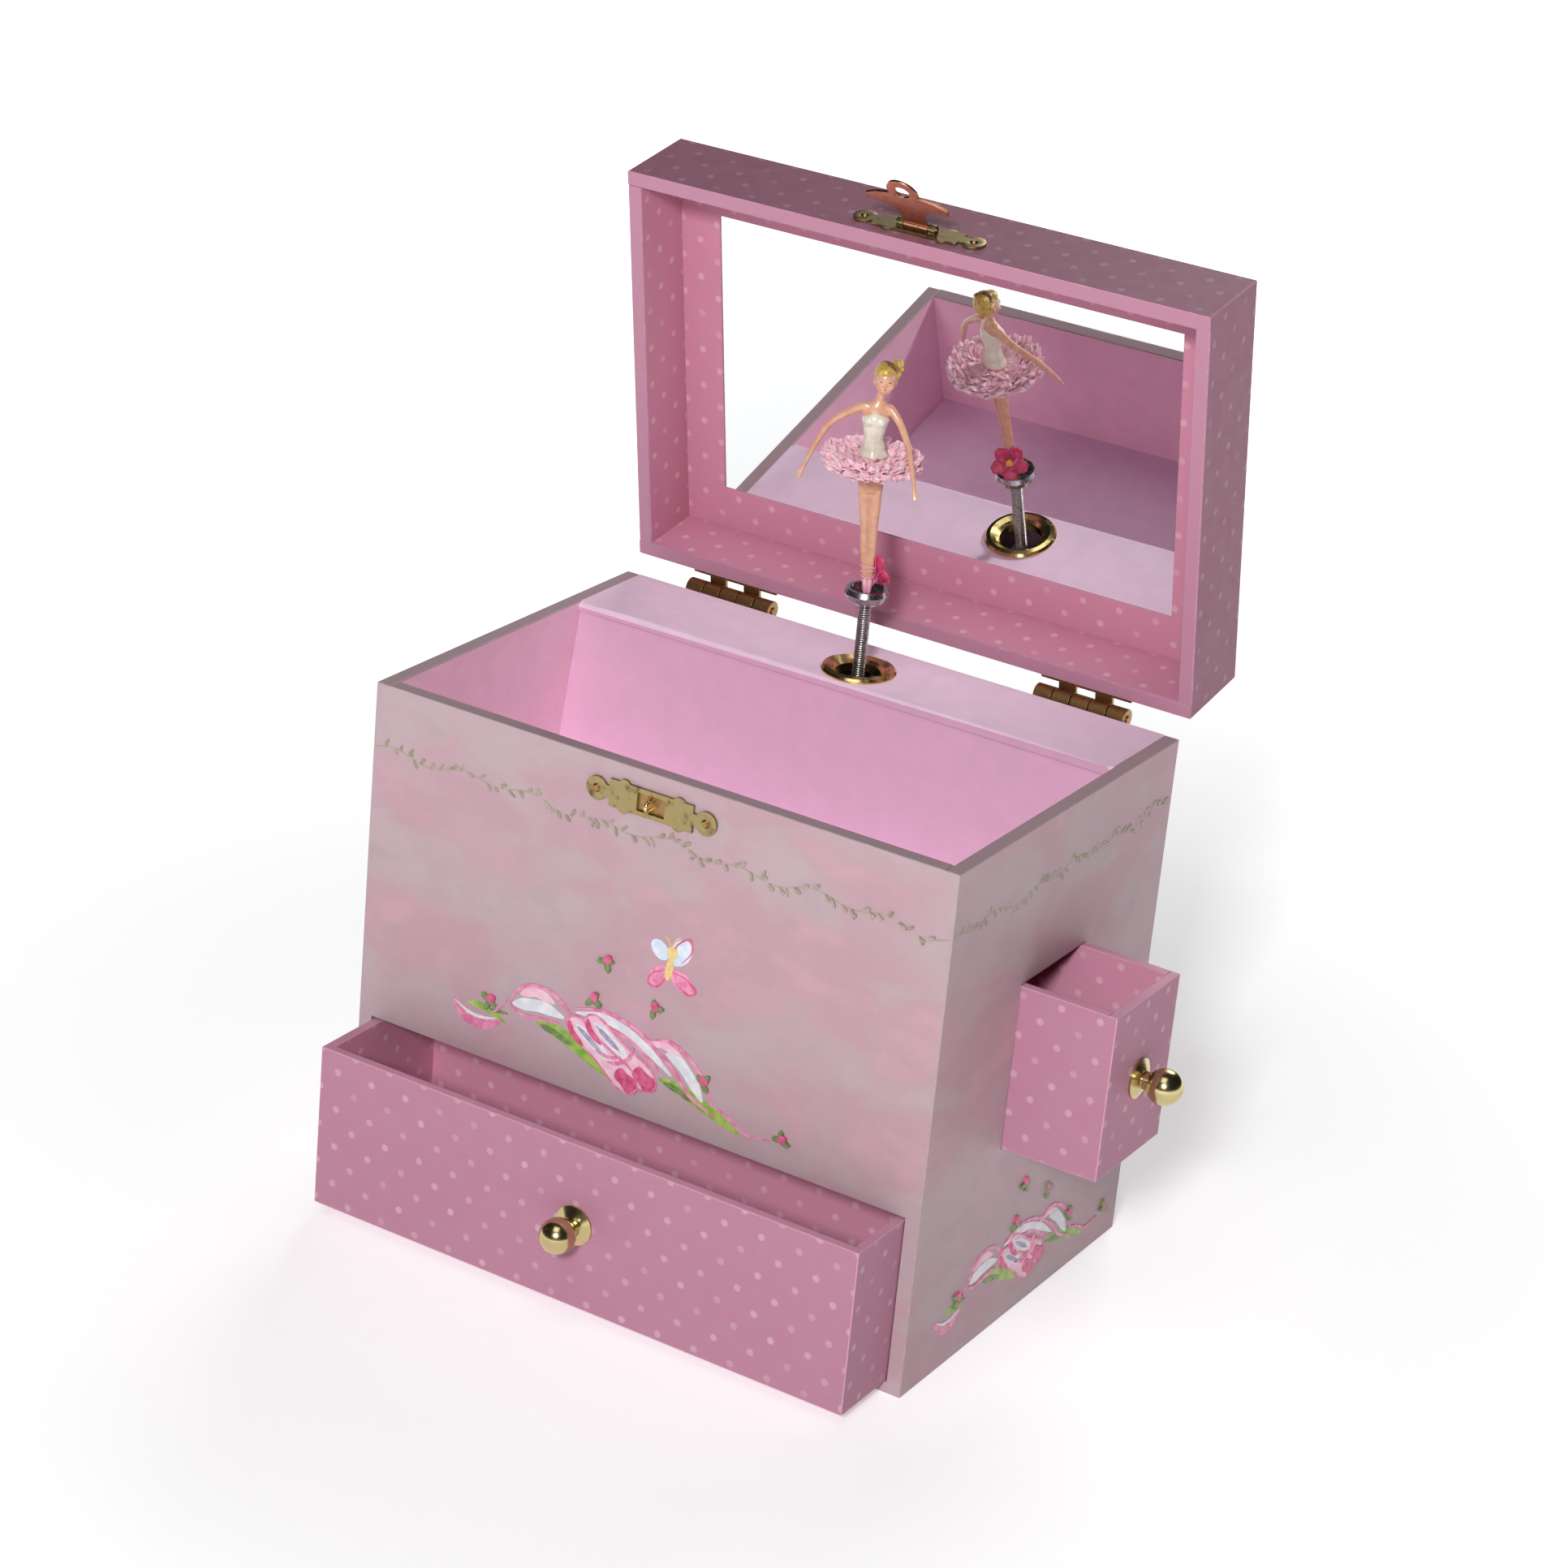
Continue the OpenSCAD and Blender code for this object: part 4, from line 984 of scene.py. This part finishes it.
# skull, jaw, nose, chin, cheeks and ears: place from the middle of the head, and half sizes
HEAD_FORMS = [((0, 0, 0), (2.65, 3, 3.35)), ((0, -1, -1.75), (1.75, 1.85, 1.75)),
              ((0, -2.86, -0.55), (0.34, 0.5, 0.62)), ((0, -2.45, -2.1), (0.75, 0.5, 0.5)),
              ((1.25, -1.85, -1.1), (0.95, 0.9, 0.85)), ((2.62, 0.1, -0.6), (0.35, 0.6, 0.85))]


def doll_body():
    """Legs, trunk, arms, neck and head as one moulding."""
    bm = bmesh.new()
    loft(bm, TORSO)
    for s in (-1, 1):
        tube(bm, [(s * 1.45 - 1.65, 1.7, 181.5), (s * 1.25 - 1.3, 1.5, 175), (s * 1.05 - 0.95, 1, 169.4),
                  (s * 0.95 - 0.7, 0.9, 165), (s * 0.75 - 0.35, 0.6, 160), (s * 0.6 - 0.15, 0.3, 156.8),
                  (s * 0.45, 0.1, 154.6)], [1.66, 1.34, 1.06, 1.04, 0.8, 0.58, 0.52], 16)
    right_arm = [(-4.2, 2.3, 200.6), (-5.6, 2.5, 200.3), (-9, 3, 198.3), (-12.8, 3.4, 195.2),
                 (-15.2, 3, 191.2), (-17.4, 2.2, 186.4), (-18.3, 1.9, 184)]
    left_arm = [(0.2, 2.3, 200.6), (1.5, 2.2, 200.2), (3.8, 0.6, 197.6), (5.9, -2.4, 194),
                (7, -5.4, 190.8), (8.2, -8.6, 186.6), (8.5, -9.8, 185)]
    for arm, reach, side in ((right_arm, (-0.34, -0.22, -0.92), -1), (left_arm, (0.16, -0.45, -0.88), 1)):
        tube(bm, arm, ARM_RADII)
        hand(bm, Vector(arm[-1]), Vector(reach), side)
    tube(bm, [(-1.8, 2.5, 201.2), (-1.4, 2.6, 203.2), (-0.9, 2.8, 205.2)], [1.35, 1.05, 1.1], 14)
    for at, radii in HEAD_FORMS:
        for side in (-1, 1) if at[0] else (1,):
            ball(bm, HEAD + Vector((side * at[0], *at[1:])), radii)
    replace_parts(doll_piece("doll_body", fused(bm, 0.2, 5), skin), "ballerina")


def hand(bm, wrist, along, side):
    """A small hand: a palm, a thumb and three close fingers."""
    along.normalize()
    across = along.cross(Vector((0, 1, 0))).normalized()
    tube(bm, [wrist - along * 0.3, wrist + along * 0.7, wrist + along * 1.5], [0.4, 0.56, 0.48], 10, 4, 0.7)
    for k, long in ((-1, 2.7), (0, 3.1), (1, 2.8)):
        tip = wrist + along * long + across * 0.42 * k
        tube(bm, [wrist + along * 1.2 + across * 0.28 * k, tip], [0.27, 0.2], 8, 3)
    out = across * side
    tube(bm, [wrist + along * 0.5, wrist + along * 1.1 + out * 0.75, wrist + along * 1.9 + out * 0.8],
         [0.25, 0.24, 0.18], 8, 3)


def doll_dress():
    """The white bodice with its shaped neckline and bust."""
    bm = bmesh.new()
    rows = 26
    low_z, high_z = 188.2, 199.4
    rings = []
    for i in range(rows + 1):
        ring = []
        for t in around(48):
            dip = 0.75 * cos(2 * (t + pi / 2)) - 0.35
            z = low_z + (high_z + dip * (i / rows) - low_z) * i / rows
            x, y, a, b = torso_at(z)
            grow = 0.22 + 0.08 * cos(8 * t) * (1 - i / rows)
            if i in (0, rows):
                grow -= 0.30
            ring.append(bm.verts.new((x + (a + grow) * cos(t), y + (b + grow) * sin(t), z)))
        rings.append(ring)
    join_rings(bm, rings)
    for s in (-1, 1):
        x, y, a, b = torso_at(197.6)
        ball(bm, (x + s * 1.35, y - b + 0.75, 197.6), (1.35, 1.15, 1.25))
    doll_piece("doll_bodice", fused(bm, 0.2, 3), bodice_paint)


def torso_at(z):
    """The trunk's centre and half sizes at a height."""
    for (z0, *low), (z1, *high) in zip(TORSO, TORSO[1:]):
        if z <= z1:
            t = max(0, (z - z0) / (z1 - z0))
            t = t * t * (3 - 2 * t)
            return [a + (b - a) * t for a, b in zip(low, high)]
    return TORSO[-1][1:]


def doll_hair():
    """Combed-back hair, with strands, and a coiled bun behind the crown."""
    bm = bmesh.new()
    ball(bm, HEAD + Vector((0.05, 0.95, 0.85)), (2.92, 2.95, 3.35))
    ball(bm, HEAD + Vector((0, -0.75, 2.15)), (2.05, 2, 1.5))
    fringe = bmesh.new()
    crown = HEAD + Vector((0, 0.7, 0.7))
    for k in range(15):
        a = radians(-98 + 14 * k)
        lift = cos(a) ** 2
        start = HEAD + Vector((2.25 * sin(a), -1.35 * lift - 0.1, 2.2 * lift - 0.1))
        end = HEAD + Vector((1.6, 2.5, 2.6))
        out = ((start + end) / 2 - crown).normalized()
        top = crown + out * 3.35
        strand = fringe if 1 < k < 11 else bm
        tube(strand, [start, (start + top) / 2 + out * 0.35, top, end], [0.36, 0.46, 0.44, 0.2], 8, 5)
    doll_piece("doll_hair", fused(bm, 0.17, 2), hair_paint)
    doll_piece("doll_fringe", fused(fringe, 0.15, 1), fringe_paint)
    bun = bmesh.new()
    centre = HEAD + Vector((2.5, 2.5, 3))
    turn = turned(radians(-35), "X") @ turned(radians(38), "Y")
    ball(bun, centre, (1.35, 1.35, 1.2), turn)
    coil = []
    for k in range(30):
        a = 0.62 * k
        r = 1.45 - 1.25 * (k / 29)
        coil.append(centre + turn @ Vector((r * cos(a), r * sin(a), 0.1 + 1.15 * (k / 29))))
    tube(bun, coil, [0.55] * len(coil), 8, 3)
    doll_piece("doll_bun", fused(bun, 0.15, 1), hair_paint)


def doll_face():
    """Small painted eyes, brows and mouth on a plain face."""
    for name, paint, dx, dz, wide, tall, tilt in (("doll_eyes", eye_paint, 0.98, 0.15, 0.34, 0.15, 6),
                                                  ("doll_brows", hair_paint, 1.02, 0.85, 0.48, 0.07, 8)):
        bm = bmesh.new()
        y = 0.04 - 3 * sqrt(1 - (dx / 2.65) ** 2 - (dz / 3.35) ** 2)
        for s in (-1, 1):
            turn = turned(radians(s * tilt), "Y") @ turned(-s * dx * 0.33, "Z")
            ball(bm, HEAD + Vector((s * dx, y, dz)), (wide, 0.14, tall), turn)
        doll_piece(name, bm, paint)
    lips = bmesh.new()
    ball(lips, HEAD + Vector((0, -2.83, -1.68)), (0.42, 0.16, 0.13))
    ball(lips, HEAD + Vector((0, -2.83, -1.84)), (0.34, 0.17, 0.13))
    doll_piece("doll_lips", lips, lip_paint)


def doll_slippers():
    """Slippers, and ribbon wound round the ankles."""
    bm = bmesh.new()
    for s in (-1, 1):
        tube(bm, [(s * 0.58 - 0.12, 0.28, 157.2), (s * 0.5 - 0.05, 0.18, 155.8), (s * 0.42, 0.1, 154.5)],
             [0.7, 0.7, 0.62], 14)
    for k in range(3):
        ring = [(-0.2 - 0.06 * k + (1.55 + 0.16 * k) * cos(t), 0.45 + 0.06 * k + (1.0 + 0.1 * k) * sin(t),
                 158.4 + 1.15 * k + 0.35 * sin(t + 2 * k)) for t in (*around(16), 2 * pi)]
        tube(bm, ring, [0.17] * 17, 6, 2)
    doll_piece("doll_slippers", bm, slipper_paint)


TUTU_AT = Vector((-1.9, 2, 0))
TUTU_R, TUTU_WAIST = 12.1, 2.3
# each layer of net: height at the waist and at the rim, the rim's share of the whole radius, frills
TUTU_LAYERS = [(187.9, 188.5, 0.84, 17), (187.5, 187.9, 0.95, 19), (187, 187.1, 1, 21),
               (186.5, 186.3, 0.97, 20), (186, 185.5, 0.88, 18)]
NET_T = 0.14


def tutu_layer(index, root_z, edge_z, reach, frills):
    """One gathered ring of net, frilled more towards its rim."""
    random.seed(index)
    out = 16
    phases = [random.uniform(0, 2 * pi) for _ in range(3)]
    bm = bmesh.new()
    rings = []
    for i in range(out + 1):
        t = i / out
        ring = []
        for a in around(320):
            sway = sin(frills * a + phases[0] + 0.9 * sin(3 * a + phases[1]))
            r = TUTU_WAIST + (TUTU_R * reach - TUTU_WAIST) * t
            spot = Vector((r * cos(a), r * sin(a), 7.3 * index))
            puff = noise.noise(spot * 0.75)
            fine = noise.noise(spot * 1.7 + Vector((5, 3, 1)))
            r += t * t * (0.30 * sway + 0.9 * puff)
            z = root_z + (edge_z - root_z) * t + t ** 0.7 * (0.42 * sway + 0.95 * puff + 0.7 * fine)
            twist = a + 0.05 * t * sin(2 * frills * a + phases[2])
            ring.append(bm.verts.new((TUTU_AT.x + r * cos(twist), TUTU_AT.y + r * sin(twist), z)))
        rings.append(ring)
    join_rings(bm, rings, capped=False)
    layer = doll_piece(f"tutu_layer_{index}", bm, tutu_net)
    layer.modifiers.new("net", "SOLIDIFY").thickness = NET_T * MM
    return layer


def tutu_puffs(index, rows, height):
    """Small curled ends of net that stand out of one face of the tutu."""
    random.seed(90 + index)
    bm = bmesh.new()
    for r, count in rows:
        for k in range(count):
            a = 2 * pi * (k + random.uniform(-0.35, 0.35)) / count
            out = r + random.uniform(-0.5, 0.4)
            at = TUTU_AT + Vector((out * cos(a), out * sin(a), height + random.uniform(-0.35, 0.35)))
            turn = (turned(a + random.uniform(-0.9, 0.9), "Z") @ turned(random.uniform(-0.75, 0.1), "Y")
                    @ turned(random.uniform(-1, 1), "X"))
            petal(bm, at, turn, 0, random.uniform(1.5, 2.3), random.uniform(1.5, 2.1), random.uniform(0.4, 1))
    return doll_piece(f"tutu_puffs_{index}", bm, tutu_net)


def tutu():
    layers = [tutu_layer(i + 1, *values) for i, values in enumerate(TUTU_LAYERS)]
    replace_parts(layers[2], "tutu")
    puffs = {0: tutu_puffs(1, [(4.8, 22), (6.9, 32), (9, 42), (10.6, 50)], 188.3),
             4: tutu_puffs(2, [(6.5, 26), (8.8, 36), (10.6, 46)], 185.9)}


def ballerina():
    doll_body()
    doll_dress()
    doll_hair()
    doll_face()
    doll_slippers()
    tutu()
    ankle_flower()


# ---- stage, lights and camera

CAMERA_AT = Vector((454.6, -787.2, 499.8)) * MM
CAMERA_YAW, CAMERA_PITCH, CAMERA_ROLL = (radians(a) for a in (29.85, 22.95, 5.55))
LENS, SENSOR = 94.33, 36.0


def camera():
    """The view from above and to the right of the front, rolled a little."""
    turn = turned(CAMERA_YAW, "Z") @ turned(pi / 2 - CAMERA_PITCH, "X") @ turned(CAMERA_ROLL, "Z")
    data = bpy.data.cameras.new("camera")
    data.lens, data.sensor_width = LENS, SENSOR
    data.clip_start, data.clip_end = 0.05, 20
    obj = add("camera", data)
    obj.matrix_world = Matrix.Translation(CAMERA_AT) @ turn.to_4x4()
    scene.camera = obj


def stage_floor():
    """A wide pale floor that brightens away from the box, as a lit backdrop does."""
    bm = bmesh.new()
    bm.faces.new([bm.verts.new((6000 * x, 6000 * y, -0.05)) for x, y in CORNERS])
    mesh = to_mesh("floor", bm)
    mesh.transform(Matrix.Scale(MM, 4))
    f = Finish("floor_white", (0.88, 0.88, 0.885), 0.9)
    f.bsdf.inputs["Emission Color"].default_value = (1, 1, 1, 1)
    away = f.node("VectorMath", {0: f.place()}, operation="LENGTH").outputs["Value"]
    f.drive("Emission Strength", f.remap(away, 120, 620, GLOW_NEAR, GLOW_FAR))
    mesh.materials.append(f.mat)
    add("floor", mesh)


GLOW_NEAR, GLOW_FAR = 0.36, 0.92
WORLD_LOW, WORLD_HIGH = 0.14, 0.42
# name, degrees from the front towards the right, degrees above the floor, distance and size in metres, watts
LIGHTS = [("key_light", 20, 31.5, 2, 0.26, 27), ("top_light", 10, 66, 2, 1, 5.5),
          ("back_light", 190, 36, 2.4, 1.2, 19)]


def lights():
    target = Vector((0, 0, 0.12))
    for name, turn, rise, distance, size, watts in LIGHTS:
        at = turned(radians(turn), "Z") @ turned(radians(-rise), "X") @ Vector((0, -distance, 0))
        data = bpy.data.lights.new(name, "AREA")
        data.size = size
        data.energy = watts
        obj = add(name, data)
        obj.location = at
        obj.rotation_mode = "QUATERNION"
        obj.rotation_quaternion = (target - at).to_track_quat("-Z", "Y")
    world = bpy.data.worlds.new("studio")
    world.use_nodes = True
    tree = world.node_tree
    way = shader_node(tree, "TexCoord", {}).outputs["Generated"]
    height = shader_node(tree, "SeparateXYZ", {0: way}).outputs[2]
    ramp = shader_node(tree, "MapRange", {"Value": height, "From Min": -0.3, "From Max": 0.9,
                                          "To Min": WORLD_LOW, "To Max": WORLD_HIGH})
    tree.links.new(ramp.outputs["Result"], tree.nodes["Background"].inputs["Strength"])
    scene.world = world
    scene.view_settings.view_transform = "Standard"


# ---- build

paper_the_boards()
finish_the_fittings()
print_the_case()
lock_recess()
spring_coil()
ballerina()
stage_floor()
lights()
camera()
